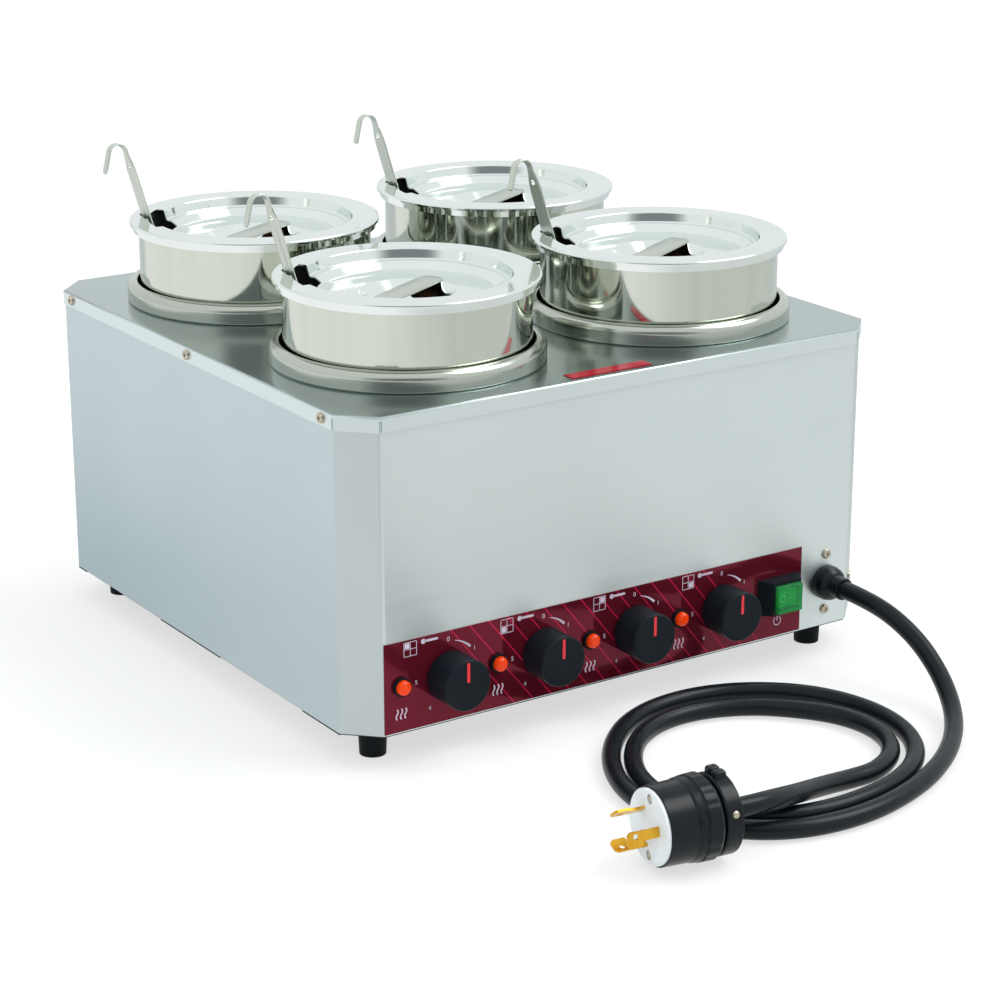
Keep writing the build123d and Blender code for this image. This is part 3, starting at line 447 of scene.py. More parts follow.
def squared(wave, power):
    """A cosine or sine swelled toward a square wave: its sign times its size raised to a power below 1."""
    return np.sign(wave) * np.abs(wave) ** power


def bent(corners, radii, steps=7):
    """A line of straight runs whose inner corners are arcs: each arc leaves its run a radius times
    tan(half turn) early, with one more point just before and after it so that the runs stay flat."""
    flat_step = 0.1
    corners = np.array(corners, float)
    out = [corners[:1]]
    for a, b, c, r in zip(corners, corners[1:], corners[2:], radii):
        d, e = (b - a) / np.linalg.norm(b - a), (c - b) / np.linalg.norm(c - b)
        turn = math.atan2(d[0] * e[1] - d[1] * e[0], d @ e)
        side = math.copysign(1, turn) * np.array([-d[1], d[0]])
        start = b - d * r * math.tan(abs(turn) / 2)
        t = np.linspace(0, abs(turn), steps)[:, None]
        arc = start + r * (np.sin(t) * d + (1 - np.cos(t)) * side)
        out += [[start - flat_step * d], arc, [arc[-1] + flat_step * e]]
    return np.concatenate(out + [corners[-1:]])


def thick(line, wall):
    """A closed section: the line, and the same line moved to its left by the wall, taken backwards."""
    along = np.gradient(line, axis=0)
    along /= np.linalg.norm(along, axis=1)[:, None]
    moved = line + wall * np.column_stack([-along[:, 1], along[:, 0]])
    moved[:, 0] = np.where(line[:, 0] < 1e-9, 0, moved[:, 0])
    return np.concatenate([line, moved[::-1], line[:1]])


def turned(section, centre, columns=180):
    """A section (radius, height) carried round an upright axis: x = cx + r cos t, y = cy + r sin t."""
    t = around(columns)
    r, z = section[:, :1], section[:, 1:]
    return np.stack([centre[0] + r * np.cos(t), centre[1] + r * np.sin(t), z + 0 * t], axis=-1)


def turned_out(section, centre, swell=1.0):
    """A section (radius, distance) carried round an axis towards the front, its radius swelling as given:
    z = cz + r cos t, x = cx + r sin t, y = cy - distance."""
    t = around(96)
    r, d = section[:, :1] * swell, section[:, 1:]
    return np.stack([centre[0] + r * np.sin(t), centre[1] - d + 0 * t, centre[2] + r * np.cos(t)], axis=-1)


def make_cord():
    """Cord jacket: a round tube on the route's own spline."""
    line = bpy.data.curves.new("cord_jacket", "CURVE")
    line.dimensions = "3D"
    spline = line.splines.new("NURBS")
    spline.points.add(len(CORD_ROUTE) - 1)
    weights = np.ones(len(CORD_ROUTE))
    spline.points.foreach_set("co", np.column_stack([np.array(CORD_ROUTE) * MM, weights]).ravel())
    spline.order_u = 3
    spline.use_endpoint_u = True
    spline.resolution_u = 8
    line.bevel_depth = CORD_RADIUS * MM
    line.bevel_resolution = 7
    line.use_fill_caps = True
    cord = add_piece("cord_jacket", line, RUBBER, "base")
    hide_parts("power_cord")
    return cord


def make_pot(n, centre):
    """Inset pot: a pressed cup with a rolled rim, turned round its axis."""
    floor, wall, rim, foot = 108.3, 87.5, 308.7, 303.2
    line = bent([(0, floor), (wall, floor), (wall, rim), (wall + 2.8, rim), (wall + 3.1, foot)],
                [12, 1.2, 1.2])
    pot = shell(f"inset_pot_shell_{n}", [(turned(thick(line, SHEET), centre), True)], POT_STEEL, f"pot_{n}")
    paint_cup(pot, INSIDE_STEEL, LID_STEEL, centre, foot - 0.2)
    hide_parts(f"inset_pot_{n}")


def make_ring(n, centre):
    """Collar ring: a pressed channel with rounded shoulders, turned round its axis."""
    outer, inner, top = 97.5, 89.7, DECK + 15
    line = bent([(outer - 1.2, DECK), (outer, DECK + 1.2), (outer, top), (inner, top), (inner, DECK - 4)],
                [0.8, 6.2, 1.4], 14)
    ring = shell(f"collar_ring_shell_{n}", [(turned(thick(line, SHEET), centre), True)], RING_STEEL, "base")
    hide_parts(f"collar_ring_{n}")


def make_lid(n, centre):
    """Lid: a stepped dish turned round its axis, 2 degrees a column, with the ladle's slot and the notch
    outside it left out of both skins and walled."""
    wall, recess, step = 0.9, 286.9, 302.9
    near, far, tip = 63, 80, 87.5
    slot_from, slot_to, notch_from, notch_to = 65, 88, 70, 77
    line = bent([(0, recess), (18.5, recess), (34, LID_DISH), (62, LID_DISH), (68, step), (72, step),
                 (74, LID_TOP), (94, LID_TOP), (94, LID_TOP - 3)], [8, 2, 2, 2, 1.6, 1.6, 1.6])
    for reach in (near, far, tip):
        at = np.searchsorted(line[:, 0], reach)
        height = np.interp(reach, line[at - 1:at + 1, 0], line[at - 1:at + 1, 1])
        line = np.insert(line, at, [reach, height], axis=0)
    section = thick(line, -wall)
    count = len(line)
    upper, lower = turned(section[:count], centre), turned(section[count:-1][::-1], centre)
    first, last, end = np.searchsorted(line[:, 0], (near, far, tip))
    keep = np.ones((count - 1, upper.shape[1]), bool)
    keep[first:last, slot_from:slot_to] = False
    keep[last:end, notch_from:notch_to] = False
    slot, notch = slice(first, last + 1), slice(last, end + 1)
    mouth = slice(notch_from, notch_to + 1)
    cuts = [(first, slice(slot_from, slot_to + 1)), (slot, slot_from), (slot, slot_to),
            (last, slice(slot_from, notch_from + 1)), (last, slice(notch_to, slot_to + 1)),
            (notch, notch_from), (notch, notch_to), (end, mouth)]
    # The notch's outer edge slants along the handle that stands in it
    columns = np.arange(notch_from, notch_to + 1)
    bearing = np.radians(columns * 2.0)
    rim = np.interp(columns, (notch_from + 2, notch_to), (tip, tip - 5.5))
    slanted = np.array(centre) + np.column_stack([rim * np.cos(bearing), rim * np.sin(bearing)])
    for skin in (upper, lower):
        skin[end, mouth, :2] = slanted
    walls = [(np.stack([upper[cut], lower[cut]]), False) for cut in cuts]
    edge = np.stack([upper[-1], lower[-1]])
    skins = [(upper, True, keep), (lower, True, keep), (edge, True)]
    lid = shell(f"lid_shell_{n}", skins + walls, LID_STEEL, f"lid_{n}")
    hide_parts(f"lid_{n}")


def make_strap(n, centre):
    """Lid strap: a bar with rounded ends and softened edges, laid across the recess at a bearing of 29
    degrees."""
    half_length, half_width, roundness = 40.0, 9.5, 0.35
    bearing = math.radians(29)
    t = around(72)
    inset = np.array([0.0, 0.0, 0.12, 0.4, 9.4])[:, None]
    height = LID_DISH + np.array([0.0, 0.8, 1.1, 1.2, 1.2])[:, None]
    u = squared(np.cos(t), roundness) * (half_length - inset)
    v = squared(np.sin(t), roundness) * (half_width - inset)
    turn = np.stack([centre[0] + u * math.cos(bearing) - v * math.sin(bearing),
                     centre[1] + u * math.sin(bearing) + v * math.cos(bearing), height + 0 * u], axis=-1)
    floor, crown = [np.stack([turn[k], np.tile((*centre, height[k, 0]), (len(t), 1))]) for k in (0, -1)]
    skins = [(turn, True), (floor, True), (crown, True)]
    strap = shell(f"lid_strap_bar_{n}", skins, RING_STEEL, f"lid_{n}")
    # The strap's underside gets painted shade, reflected dark in the recess below it
    paint_facing(strap, STRAP_UNDERSIDE_SHADE, lambda x, y, z: z < -0.9)
    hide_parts(f"lid_strap_{n}")


def make_ladle(n, centre):
    """Ladle: two skins over a path of arc length s and breadth v, a half-thickness apart, with an
    embossed rib and a hanging hole. The path runs up the lean, narrows into a hook and goes down its leg.
    The bowl is half a sphere turned round its own axis."""
    lean, bearing, twist = math.radians(15.3), math.radians(148.0), math.radians(32.0)
    bowl, bowl_wall, bowl_seat = 30.0, 1.0, 139.6
    slot_radius, above_lid = 81.5, 52.0
    hook, hook_turn, leg = 7.0, math.radians(150), 17.0
    half_breadth, hook_slims, taper = 7.4, 3.9, 17.0
    tail, half_thick = 6.0, 0.95
    rib_height, rib_share, rib_from, rib_short, rib_fade = 0.5, 0.323, 8.0, 24.0, 10.0
    radial = np.array([math.cos(bearing), math.sin(bearing), 0])
    across = np.array([math.sin(bearing), -math.cos(bearing), 0])
    up = math.sin(lean) * radial + np.array([0, 0, math.cos(lean)])
    away = math.cos(lean) * radial - np.array([0, 0, math.sin(lean)])
    out = math.cos(twist) * away - math.sin(twist) * across
    side = math.cos(twist) * across + math.sin(twist) * away
    foot = bowl_seat - bowl * math.sin(lean) * math.cos(twist)
    rise = LID_TOP - foot
    seat = np.array([*centre, foot]) + (slot_radius - rise * math.tan(lean)) * radial
    straight = rise / math.cos(lean) + above_lid
    bend = straight + hook * hook_turn
    total = bend + leg

    def skin(s, v, face):
        """One skin: the path's point, with the half thickness to one face of it and the rib pressed out
        of both."""
        t = np.clip((s - straight) / hook, 0, hook_turn)
        past = np.maximum(s - bend, 0)
        u = hook - hook * np.cos(t) + past * math.sin(hook_turn)
        w = np.minimum(s, straight) + hook * np.sin(t) + past * math.cos(hook_turn)
        ends = np.clip(np.minimum((total - s) / 3.0, (s + tail) / 5.0), 0, 1)
        narrow = np.clip((s - straight + taper) / taper, 0, 1)
        breadth = half_breadth - hook_slims * narrow * narrow * (3 - 2 * narrow)
        breadth = breadth * np.sqrt(1 - (1 - ends) ** 2)
        half = half_thick * (1 - np.clip(np.abs(v), 0, 1) ** 6) ** (1 / 3) * np.sqrt(1 - (1 - ends) ** 4)
        rib = np.minimum(straight - rib_short - s, s - rib_from) / rib_fade
        rib = rib_height * np.exp(-(v / rib_share) ** 4) * np.clip(rib, 0, 1)
        off = face * half + rib
        u, w = u - off * np.cos(t), w + off * np.sin(t)
        return seat + u[..., None] * out + w[..., None] * up + (v * breadth)[..., None] * side

    # The handle below and above its hole, then a square patch round the hole
    hole, hole_radius, hole_share, reach = straight - 12.0, 2.2, 0.36, 7.0
    below = np.concatenate([np.linspace(-tail, 0, 9), np.linspace(12, hole - reach, 20)])
    above = np.concatenate([np.linspace(hole + reach, straight, 5)[:-1], np.linspace(straight, bend, 30),
                            bend + np.linspace(1, leg - 4, 6), total - 3 * np.linspace(0.9, 0, 9) ** 2])
    breadths = np.sin(np.linspace(-math.pi / 2, math.pi / 2, 25))
    sheets = [(skin(*np.meshgrid(run, breadths, indexing="ij"), face), False)
              for face in (-1, 1) for run in (below, above)]
    a = np.linspace(-math.pi, math.pi, 96, endpoint=False) + math.pi / 4
    square = np.stack([np.cos(a), np.sin(a)]) / np.maximum(np.abs(np.cos(a)), np.abs(np.sin(a)))
    ring = np.linspace(0, 1, 8)[:, None]
    patch_s = hole + (1 - ring) * hole_radius * np.cos(a) + ring * reach * square[0]
    patch_v = (1 - ring) * hole_share * np.sin(a) + ring * square[1]
    front, back = skin(patch_s, patch_v, -1), skin(patch_s, patch_v, 1)
    sheets += [(front, True), (back, True), (np.stack([front[0], back[0]]), True)]

    # The bowl's outer and inner halves, from the bottom to the lip and back
    half = np.linspace(0, math.pi / 2, 24)
    t = np.concatenate([half, half[::-1]])
    r = np.repeat([bowl, bowl - bowl_wall], len(half))
    p = around(72)[:, None]
    level = (r * np.sin(t))[:, None, None] * (np.cos(p) * out + np.sin(p) * side)
    sheets.append((seat - bowl * out + level - (r * np.cos(t))[:, None, None] * up, True))
    ladle = shell(f"ladle_pressed_{n}", sheets, LADLE_STEEL, f"ladle_{n}", 40)
    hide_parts(f"ladle_{n}")


def slab(outline, base, proud):
    """A low pad facing the front: an outline (x, z) carried out from its base, closed at its middle on
    both faces."""
    middle = outline.mean(axis=0)
    rows = [0 * outline + middle, outline, outline, 0 * outline + middle]
    depth = [base, base, base - proud, base - proud]
    grid = np.stack([np.column_stack([o[:, 0], np.full(len(o), d), o[:, 1]]) for o, d in zip(rows, depth)])
    return grid, True


def rectangle(x, z, width, height, power=0.18):
    """An outline (x, z) of a rectangle with rounded corners: cosine and sine raised to a small power."""
    t = around(40) + 1e-4
    u = squared(np.cos(t), power) * width / 2
    v = squared(np.sin(t), power) * height / 2
    return np.column_stack([x + u, z + v])


def ribbon(path, half, base, proud):
    """A flat line facing the front: a four-cornered section carried along a path (x, z), half its width
    to each side, closed at its ends."""
    along = np.gradient(path, axis=0)
    along /= np.linalg.norm(along, axis=1)[:, None]
    away = np.column_stack([-along[:, 1], along[:, 0]]) * np.broadcast_to(half, len(path))[:, None]
    left, right = path - away, path + away
    corners = [(left, base), (left, base - proud), (right, base - proud), (right, base)]
    loop = np.stack([np.column_stack([p[:, 0], np.full(len(p), d), p[:, 1]]) for p, d in corners], axis=1)
    ends = [np.stack([loop[k], 0 * loop[k] + loop[k].mean(axis=0)]) for k in (0, -1)]
    return [(loop, True), (ends[0], True), (ends[1], True)]


def arc(x, z, radius, start, end):
    """Points (x, z) on a circle, by clock angle from 12 o'clock in degrees."""
    a = np.radians(np.linspace(start, end, 60))
    return np.column_stack([x + radius * np.sin(a), z + radius * np.cos(a)])


def make_knob(n, x):
    """Knob: a straight round body with a softened rim and a face dished by 0.3 mm; its pointer is a red
    bar let into the face."""
    line = bent([(0, 1.0), (18.0, 1.0), (18.3, KNOB_FACE), (15.0, KNOB_FACE), (0, KNOB_FACE - 0.3)],
                [0.5, 1.6, 12])
    body = turned_out(line, (x, LABEL_FACE, CONTROL_ROW))
    knob = shell(f"knob_moulded_{n}", [(body, True)], BLACK_PLASTIC, f"knob_{n}")
    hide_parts(f"knob_{n}")
    bar = rectangle(x, CONTROL_ROW + 9.6, 2.3, 14.4, power=0.25)
    shell(f"knob_pointer_{n}", [slab(bar, LABEL_FACE - KNOB_FACE + 0.5, 0.62)], RED_PAINT, f"knob_{n}")


def make_lenses():
    """Jewel lenses: domes whose radius shrinks and swells twelve times round them, fading in above their
    foot."""
    foot, facets, facet_depth = 2.4, 12, 0.05
    line = bent([(0, foot), (5.3, foot), (5.2, 5.0), (3.4, 6.6), (0, 6.6)], [0.2, 1.2, 1.6])
    dip = 0.5 + 0.5 * np.cos(facets * around(96))
    swell = 1 - facet_depth * dip * np.clip(line[:, 1:] - foot - 0.2, 0, 1)
    domes = [(turned_out(line, (x, LABEL_FACE, CONTROL_ROW), swell), True) for x in LAMPS]
    lenses = shell("lamp_jewels", domes, ORANGE_LENS, "base")
    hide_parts("lamp_lenses")


def make_label_marks():
    """White print on the label: a plan of the wells and a thermometer above each knob, a widening heat
    arc beside it, three heat waves under each lamp, and a power sign under the switch."""
    print_at = (LABEL_FACE + 0.02, 0.08)
    cell, stroke, plan_top = 5.0, 0.45, 89.4
    stem_row, wave_row, power_row = 87.6, CONTROL_ROW - 20, CONTROL_ROW - 21.5
    outlines, lines = [], []
    for x, (column, row) in zip(KNOBS, [(0, 0), (0, 1), (1, 0), (1, 1)]):
        left = x - 35.5
        for k in range(3):
            outlines.append(rectangle(left + cell, plan_top - cell * k, 2 * cell + 0.4, stroke))
            outlines.append(rectangle(left + cell * k, plan_top - cell, stroke, 2 * cell + 0.4))
        outlines.append(rectangle(left + cell * (column + 0.5), plan_top - cell * (row + 0.5), 3.8, 3.8))
        outlines.append(rectangle(x - 20, stem_row, 3.6, 3.6, 1.0))
        outlines.append(rectangle(x - 13.6, stem_row, 10.5, 1.7))
        lines.append((arc(x, CONTROL_ROW, 24.5, 12, 46), np.linspace(0.15, 0.95, 60)))
    s = np.linspace(-1, 1, 60)
    for x in LAMPS:
        for k in (-1, 0, 1):
            wave = np.column_stack([x + 3.4 * k + 0.8 * np.sin(math.pi * s), wave_row + 3.8 * s])
            lines.append((wave, 0.5))
    lines.append((arc(SWITCH, power_row, 3.3, 35, 325), 0.4))
    outlines.append(rectangle(SWITCH, power_row + 2.1, 0.8, 4.0))
    ink = [slab(outline, *print_at) for outline in outlines]
    for path, half in lines:
        ink += ribbon(path, half, *print_at)
    shell("label_marks", ink, WHITE_INK, "base")


def make_dial_numbers():
    """Plain numbers 0 to 5 clockwise round each knob: flat type turned into a mesh and set upright on the
    label."""
    type_size, type_depth, dial_radius, dial_step = 4.6, 0.05, 26.0, 54
    points, faces, count = [], [], 0
    for figure in range(6):
        words = bpy.data.curves.new("figure", "FONT")
        words.body = str(figure)
        words.size = type_size
        words.extrude = type_depth
        words.align_x = "CENTER"
        words.align_y = "CENTER"
        holder = bpy.data.objects.new("figure", words)
        flat = bpy.data.meshes.new_from_object(holder)
        co = np.empty(len(flat.vertices) * 3)
        flat.vertices.foreach_get("co", co)
        x, y, z = co.reshape(-1, 3).T
        sides = [tuple(face.vertices) for face in flat.polygons]
        a = math.radians(dial_step * figure)
        for knob in KNOBS:
            points.append(np.column_stack([knob + dial_radius * math.sin(a) + x, LABEL_FACE - 0.04 - z,
                                           CONTROL_ROW + dial_radius * math.cos(a) + y]))
            faces += [[count + k for k in side] for side in sides]
            count += len(x)
        bpy.data.objects.remove(holder)
        bpy.data.curves.remove(words)
        bpy.data.meshes.remove(flat)
    mesh = bpy.data.meshes.new("dial_numbers")
    mesh.from_pydata(np.concatenate(points) * MM, [], faces)
    add_piece("dial_numbers", mesh, WHITE_INK, "base")


def make_rocker_marks():
    """O and I on the two facets of the rocker: drawn flat, then laid on the line that each facet makes in
    plan."""
    left_end, ridge, right_end = np.array([(127.9, -236.83), (135.47, -237.02), (142.72, -239.18)])
    proud, sunk = 0.12, 0.02
    ring = ribbon(arc(0, 0, 2.4, 0, 360), 0.6, 0, proud)[:1]
    bar = [slab(rectangle(0, 0, 5.2, 1.3), 0, proud)]
    sheets = []
    for flat, low, high in ((ring, left_end, ridge), (bar, ridge, right_end)):
        along = (high - low) / np.linalg.norm(high - low)
        behind = np.array([-along[1], along[0]])
        for grid, wrap in flat:
            plan = (low + high) / 2 + grid[..., :1] * along + (grid[..., 1:2] - sunk) * behind
            sheets.append((np.concatenate([plan, CONTROL_ROW + grid[..., 2:]], axis=-1), wrap))
    shell("rocker_marks", sheets, WHITE_NYLON, "rocker")


def in_plug(grid):
    """Points of the plug's own frame, with its face towards -X, turned about Z and moved to its cord
    end."""
    x, y, z = np.moveaxis(grid, -1, 0)
    c, s = math.cos(PLUG_TURN), math.sin(PLUG_TURN)
    return np.stack([PLUG_REAR[0] + c * x + s * y, PLUG_REAR[1] - s * x + c * y, PLUG_REAR[2] + z], axis=-1)


def turned_along(section, columns, offset=0.0, dip=0.0, flutes=18):
    """A section (distance, radius) carried round an axis offset above the plug's own: y = r cos t,
    z = offset + r sin t, the radius dipping at each flute."""
    t = around(columns)
    d, r = section[:, :1], section[:, 1:]
    r = r * (1 - dip * (0.5 + 0.5 * np.cos(flutes * t)) ** 2)
    return in_plug(np.stack([-d + 0 * t, r * np.cos(t), offset + r * np.sin(t)], axis=-1))


def make_plug_shell():
    """Plug shell: a body that narrows to its face, with a stepped collar and shallow grip flutes."""
    flute_depth, flute_from, flute_to = 0.012, 16.5, 25.5
    line = bent([(15, 0), (15, 27.2), (17, 28.5), (25, 28.2), (26.2, 27.0), (27.5, 27.6), (31, 27.2),
                 (33, 26.6), (51.8, 26.0), (52.2, 25.0), (49.5, 25.0), (49.5, 0)],
                [0.6, 0.8, 0.8, 0.5, 0.5, 0.8, 0.8, 0.4, 0.2, 0.2])
    fluted = (line[:, :1] > flute_from) & (line[:, :1] < flute_to)
    skin = turned_along(line, 216, dip=flute_depth * fluted)
    body = shell("plug_shell", [(skin, True)], BLACK_NYLON, "base", 30)
    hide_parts("plug_body")
    return body


def make_plug_clamp():
    """Cord clamp: a ring with a groove, turned round the plug's axis, and two ears on top, their sides
    rounded off into their crowns."""
    line = bent([(0, 0), (0, 25.2), (1.4, 27.0), (11.6, 27.0), (12.6, 26.0), (12.8, 21.0), (15, 21.0),
                 (15, 0)], [0.8, 1.0, 0.8, 0.5, 0.3, 0.3])
    halves = [(turned_along(line, 144), True)]
    ear_at, ear_long, ear_wide, roundness = -7.0, 4.2, 3.4, 0.4
    t = around(48)
    height = np.array([20.0, 29.0, 30.2, 30.8, 31.0, 31.0])[:, None]
    inset = np.array([0.0, 0.0, 0.3, 0.9, 1.8, 3.4])[:, None]
    u = squared(np.cos(t), roundness) * (ear_long - inset)
    v = squared(np.sin(t), roundness) * (ear_wide - inset)
    for side in (-3.9, 3.9):
        ear = in_plug(np.stack([ear_at + u, side + v, height + 0 * u], axis=-1))
        crown = in_plug(np.tile((ear_at, side, height[-1, 0]), (len(t), 1)))
        halves += [(ear, True), (np.stack([ear[-1], crown]), True)]
    clamp = shell("plug_clamp_halves", halves, BLACK_NYLON, "base", 30)
    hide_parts("plug_clamp")
    return clamp


def make_plug_screws():
    """Screw heads: two turned along the plug's axis in its face, and one on the clamp, on an axis that
    tilts up from the front."""
    line = bent([(51.6, 0), (51.6, 3.0), (52.8, 3.0), (53.3, 1.8), (53.4, 0)], [0.2, 0.5, 0.5])
    heads = [(turned_along(line, 48, offset), True) for offset in (-19.0, 19.0)]
    clamp_at, tilt = -6.5, math.radians(20)
    line = bent([(0, 25.0), (2.4, 25.0), (2.4, 27.2), (1.5, 27.7), (0, 27.8)], [0.2, 0.4, 0.4])
    t = around(48)
    r, d = line[:, :1], line[:, 1:]
    heads.append((in_plug(np.stack([clamp_at + r * np.cos(t),
                                    -d * math.cos(tilt) - r * np.sin(t) * math.sin(tilt),
                                    d * math.sin(tilt) - r * np.sin(t) * math.cos(tilt)], axis=-1)), True))
    return shell("plug_screws", heads, PLATED_STEEL, "base")


def make_gland():
    """Cord gland: a domed cap and a short sleeve that narrows along the cord, turned round the cord's
    axis."""
    line = bent([(0, 0), (13, 0), (13, 5.0), (12.0, 9.0), (9.8, 12.0), (8.6, 12.6), (8.2, 22), (0, 22)],
                [0.3, 2.0, 1.5, 0.8, 0.4, 0.6], 6)
    nose = turned_out(line, (GLAND, FRONT_FACE, CONTROL_ROW))
    gland = shell("cord_gland_nose", [(nose, True)], BLACK_NYLON, "base")
    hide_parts("cord_gland")


# Each solid gets its finish, also where a piece of the scene stands for it
finishes = [
    (PANEL_STEEL, ["front_panel", "rear_panel"]),
    # Bottom cover: painted dark as its shade
    (SHADED_BOTTOM_SHEET, ["bottom_cover"]),
    # Side panels: the sheet with painted shade
    (SHADED_SIDE_STEEL, ["left_panel", "right_panel"]),
    (DECK_STEEL, ["deck"]),
    (RING_STEEL, [f"collar_ring_{n}" for n in FOUR]),
    (INSIDE_STEEL, [f"well_{n}" for n in FOUR]),
    (POT_STEEL, [f"inset_pot_{n}" for n in FOUR]),
    (LID_STEEL, [f"{k}_{n}" for k in ("lid", "lid_strap") for n in FOUR]),
    (LADLE_STEEL, [f"ladle_{n}" for n in FOUR]),
    (PLATED_STEEL, ["cover_screws", "foot_screws", "gland_nut"] + [f"knob_shaft_{n}" for n in FOUR]),
    (BLACK_PLASTIC, ["switch_housing", "pilot_lamps"] + [f"knob_{n}" for n in FOUR]),
    (BLACK_NYLON, ["cord_gland", "plug_body", "plug_clamp"]),
    (RUBBER, ["power_cord"]),
    (FOOT_RUBBER, ["feet"]),
    (ORANGE_LENS, ["lamp_lenses"]),
    (GREEN_ROCKER, ["switch_rocker"]),
    (GREEN_HOOD, ["switch_cover"]),
    (PRINTED_FILM, ["labels"]),
    (WHITE_NYLON, ["plug_face"]),
    (BRASS, ["plug_blades"]),
    (COPPER, ["capillaries"]),
    (HEATER_METAL, ["well_heaters"]),
    (FIBRE, ["insulation"]),
    (PALE_PLASTIC, ["thermostats", "terminal_block"]),
    (WIRE_COVER, ["wiring"]),
]
for material, names in finishes:
    for name in names:
        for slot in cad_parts[name].material_slots:
            slot.material = material

# The pieces that stand for solids, and the print on them
flex = make_cord()
deck_sheet = rounded_copy("deck_sheet", "deck", DECK_STEEL, 1.5, deck_fold)
paint_facing(deck_sheet, PANEL_STEEL, lambda x, y, z: np.abs(z) < 0.5)
front_sheet = rounded_copy("front_sheet", "front_panel", PANEL_STEEL, 2.0, panel_fold)
paint_facing(front_sheet, CHAMFER_STEEL, lambda x, y, z: (np.abs(x) > 0.5) & (y < -0.5))
for n, well, knob in zip(FOUR, WELLS, KNOBS):
    make_pot(n, well)
    make_ring(n, well)
    make_lid(n, well)
    make_strap(n, well)
    make_ladle(n, well)
    make_knob(n, knob)
make_lenses()
make_label_marks()
make_dial_numbers()
make_rocker_marks()
plug_pieces = [make_plug_shell(), make_plug_clamp(), make_plug_screws()]
make_gland()

# Level ways toward the right of the photograph and toward its front
TO_RIGHT = (0.831, -0.556, 0.0)
TO_FRONT = (-0.556, -0.831, 0.0)


def make_floor():
    """Plain pale floor that keeps the soft shadow: part of it glows white to the camera, and polished
    metal sees painted shade on it, dimming toward the right, and a painted shadow beside the cabinet
    toward the back so that the side panel darkens there."""
    half_side, drop = 9.0, 0.4 * MM
    white_share, mirror_share = 0.65, 0.92
    paint = bpy.data.materials.new("studio_floor_white")
    paint.use_nodes = True
    tree = paint.node_tree
    tree.nodes.clear()
    spot = node(tree, "ShaderNodeNewGeometry").outputs["Position"]
    along = node(tree, "ShaderNodeVectorMath", {0: spot, 1: TO_RIGHT}, operation="DOT_PRODUCT")
    # Painted shade that polished metal sees: the floor dims toward the right
    dim = node(tree, "ShaderNodeMapRange",
               {"Value": along.outputs["Value"], "From Min": -0.55, "From Max": 0.75})
    lit = node(tree, "ShaderNodeMix",
               {SHARE: dim.outputs[0], FIRST: srgb("#FFFFFF"), SECOND: srgb("#DADCDA")}, **COLOURS)
    axes = node(tree, "ShaderNodeSeparateXYZ", {"Vector": spot})
    # Painted shadow that polished metal sees on the floor beside the cabinet, toward the back
    beside = node(tree, "ShaderNodeMapRange",
                  {"Value": axes.outputs["X"], "From Min": -0.52, "From Max": -0.27})
    behind = node(tree, "ShaderNodeMapRange",
                  {"Value": axes.outputs["Y"], "From Min": -0.25, "From Max": 0.25})
    near = node(tree, "ShaderNodeMath", {0: beside.outputs[0], 1: behind.outputs[0]}, operation="MULTIPLY")
    shaded = node(tree, "ShaderNodeMix",
                  {SHARE: near.outputs[0], FIRST: lit.outputs[MIXED], SECOND: srgb("#CDD4D8")}, **COLOURS)
    ray = node(tree, "ShaderNodeLightPath")
    shown = node(tree, "ShaderNodeMix", {SHARE: ray.outputs["Is Camera Ray"], FIRST: shaded.outputs[MIXED],
                                         SECOND: srgb("#FFFFFF")}, **COLOURS)
    glow = node(tree, "ShaderNodeEmission", {"Color": shown.outputs[MIXED], "Strength": 1.0})
    cover = node(tree, "ShaderNodeBsdfDiffuse", {"Color": srgb("#F4F6F6")})
    direct = node(tree, "ShaderNodeMath", {0: ray.outputs["Is Camera Ray"], 1: white_share},
                  operation="MULTIPLY")
    mirrored = node(tree, "ShaderNodeMath", {0: ray.outputs["Is Glossy Ray"], 1: mirror_share},
                    operation="MULTIPLY")
    share = node(tree, "ShaderNodeMath", {0: direct.outputs[0], 1: mirrored.outputs[0]}, operation="ADD",
                 use_clamp=True)
    both = node(tree, "ShaderNodeMixShader", {0: share.outputs[0], 1: cover.outputs[0], 2: glow.outputs[0]})
    node(tree, "ShaderNodeOutputMaterial", {"Surface": both.outputs[0]})
    sheet = bpy.data.meshes.new("studio_floor")
    signs = ((-1, -1), (1, -1), (1, 1), (-1, 1))
    sheet.from_pydata([(half_side * x, half_side * y, -drop) for x, y in signs], [], [(0, 1, 2, 3)])
    sheet.materials.append(paint)
    floor = bpy.data.objects.new("studio_floor", sheet)
    scene.collection.objects.link(floor)


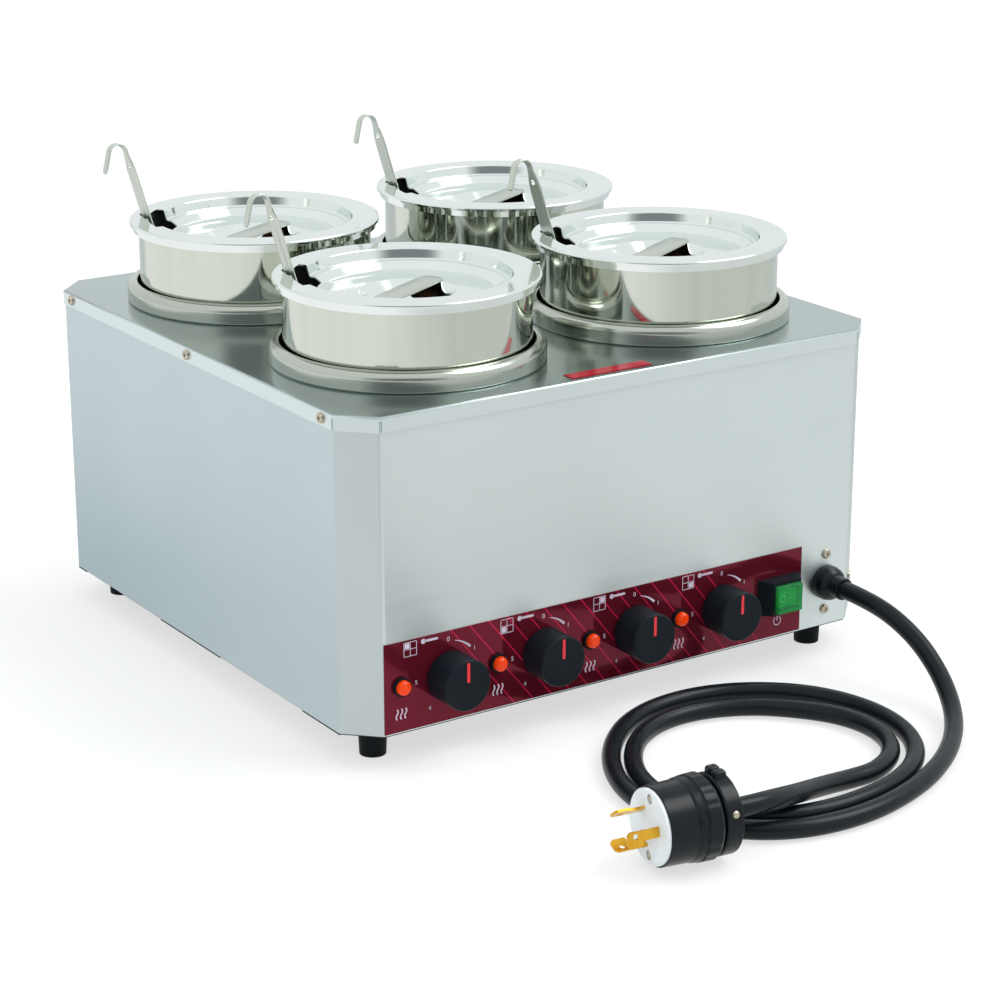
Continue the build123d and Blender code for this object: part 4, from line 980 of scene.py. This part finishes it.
def make_surround():
    """White surround: pale all round, with a soft grey patch at the front that curved metal shows as its
    shading, and a soft box high on the right that draws a pale band along the cord, the plug and the
    knobs."""
    to_softbox, softbox_strength = (0.528, -0.292, 0.797), 5.0
    world = bpy.data.worlds.new("studio_surround")
    scene.world = world
    world.use_nodes = True
    tree = world.node_tree
    tree.nodes.clear()
    way = node(tree, "ShaderNodeTexCoord").outputs["Generated"]
    axes = node(tree, "ShaderNodeSeparateXYZ", {"Vector": way})
    height = node(tree, "ShaderNodeMapRange",
                  {"Value": axes.outputs["Z"], "From Min": 0.0, "From Max": 0.9})
    pale = node(tree, "ShaderNodeMix",
                {SHARE: height.outputs[0], FIRST: srgb("#EEF2F2"), SECOND: srgb("#F6F9FA")}, **COLOURS)
    facing = node(tree, "ShaderNodeVectorMath", {0: way, 1: TO_FRONT}, operation="DOT_PRODUCT")
    patch = node(tree, "ShaderNodeMapRange", {"Value": facing.outputs["Value"], "From Min": 0.74,
                                              "From Max": 0.93}, interpolation_type="SMOOTHSTEP")
    room = node(tree, "ShaderNodeMix",
                {SHARE: patch.outputs[0], FIRST: pale.outputs[MIXED], SECOND: srgb("#83898A")}, **COLOURS)
    toward = node(tree, "ShaderNodeVectorMath", {0: way, 1: to_softbox}, operation="DOT_PRODUCT")
    softbox = node(tree, "ShaderNodeMapRange", {"Value": toward.outputs["Value"], "From Min": 0.93,
                                                "From Max": 0.975, "To Max": softbox_strength},
                   interpolation_type="SMOOTHSTEP")
    lit = node(tree, "ShaderNodeVectorMath", {0: room.outputs[MIXED], 1: softbox.outputs[0]},
               operation="ADD")
    ray = node(tree, "ShaderNodeLightPath")
    shown = node(tree, "ShaderNodeMix", {SHARE: ray.outputs["Is Camera Ray"], FIRST: lit.outputs[0],
                                         SECOND: srgb("#FFFFFF")}, **COLOURS)
    sky = node(tree, "ShaderNodeBackground", {"Color": shown.outputs[MIXED], "Strength": 1.0})
    node(tree, "ShaderNodeOutputWorld", {"Surface": sky.outputs[0]})


def add_soft_light(name, place, aim, size, power):
    """Square soft light in metres and watts: tilted by the angle of its aim from straight down, then
    turned to the aim's bearing, and kept out of reflections."""
    lamp = bpy.data.lights.new(name, "AREA")
    lamp.shape = "SQUARE"
    lamp.size = size
    lamp.energy = power
    holder = bpy.data.objects.new(name, lamp)
    scene.collection.objects.link(holder)
    x, y, z = np.array(aim) - np.array(place)
    holder.location = place
    holder.rotation_euler = (math.atan2(math.hypot(x, y), -z), 0, math.atan2(y, x) - math.pi / 2)
    holder.visible_glossy = False


make_floor()
make_surround()
add_soft_light("overhead_box", (0.2, 0.1, 2.4), (0, 0, 0.2), 2.2, 12.0)
add_soft_light("left_box", (-2.2, -1.6, 1.7), (0, -0.1, 0.2), 1.6, 9.0)
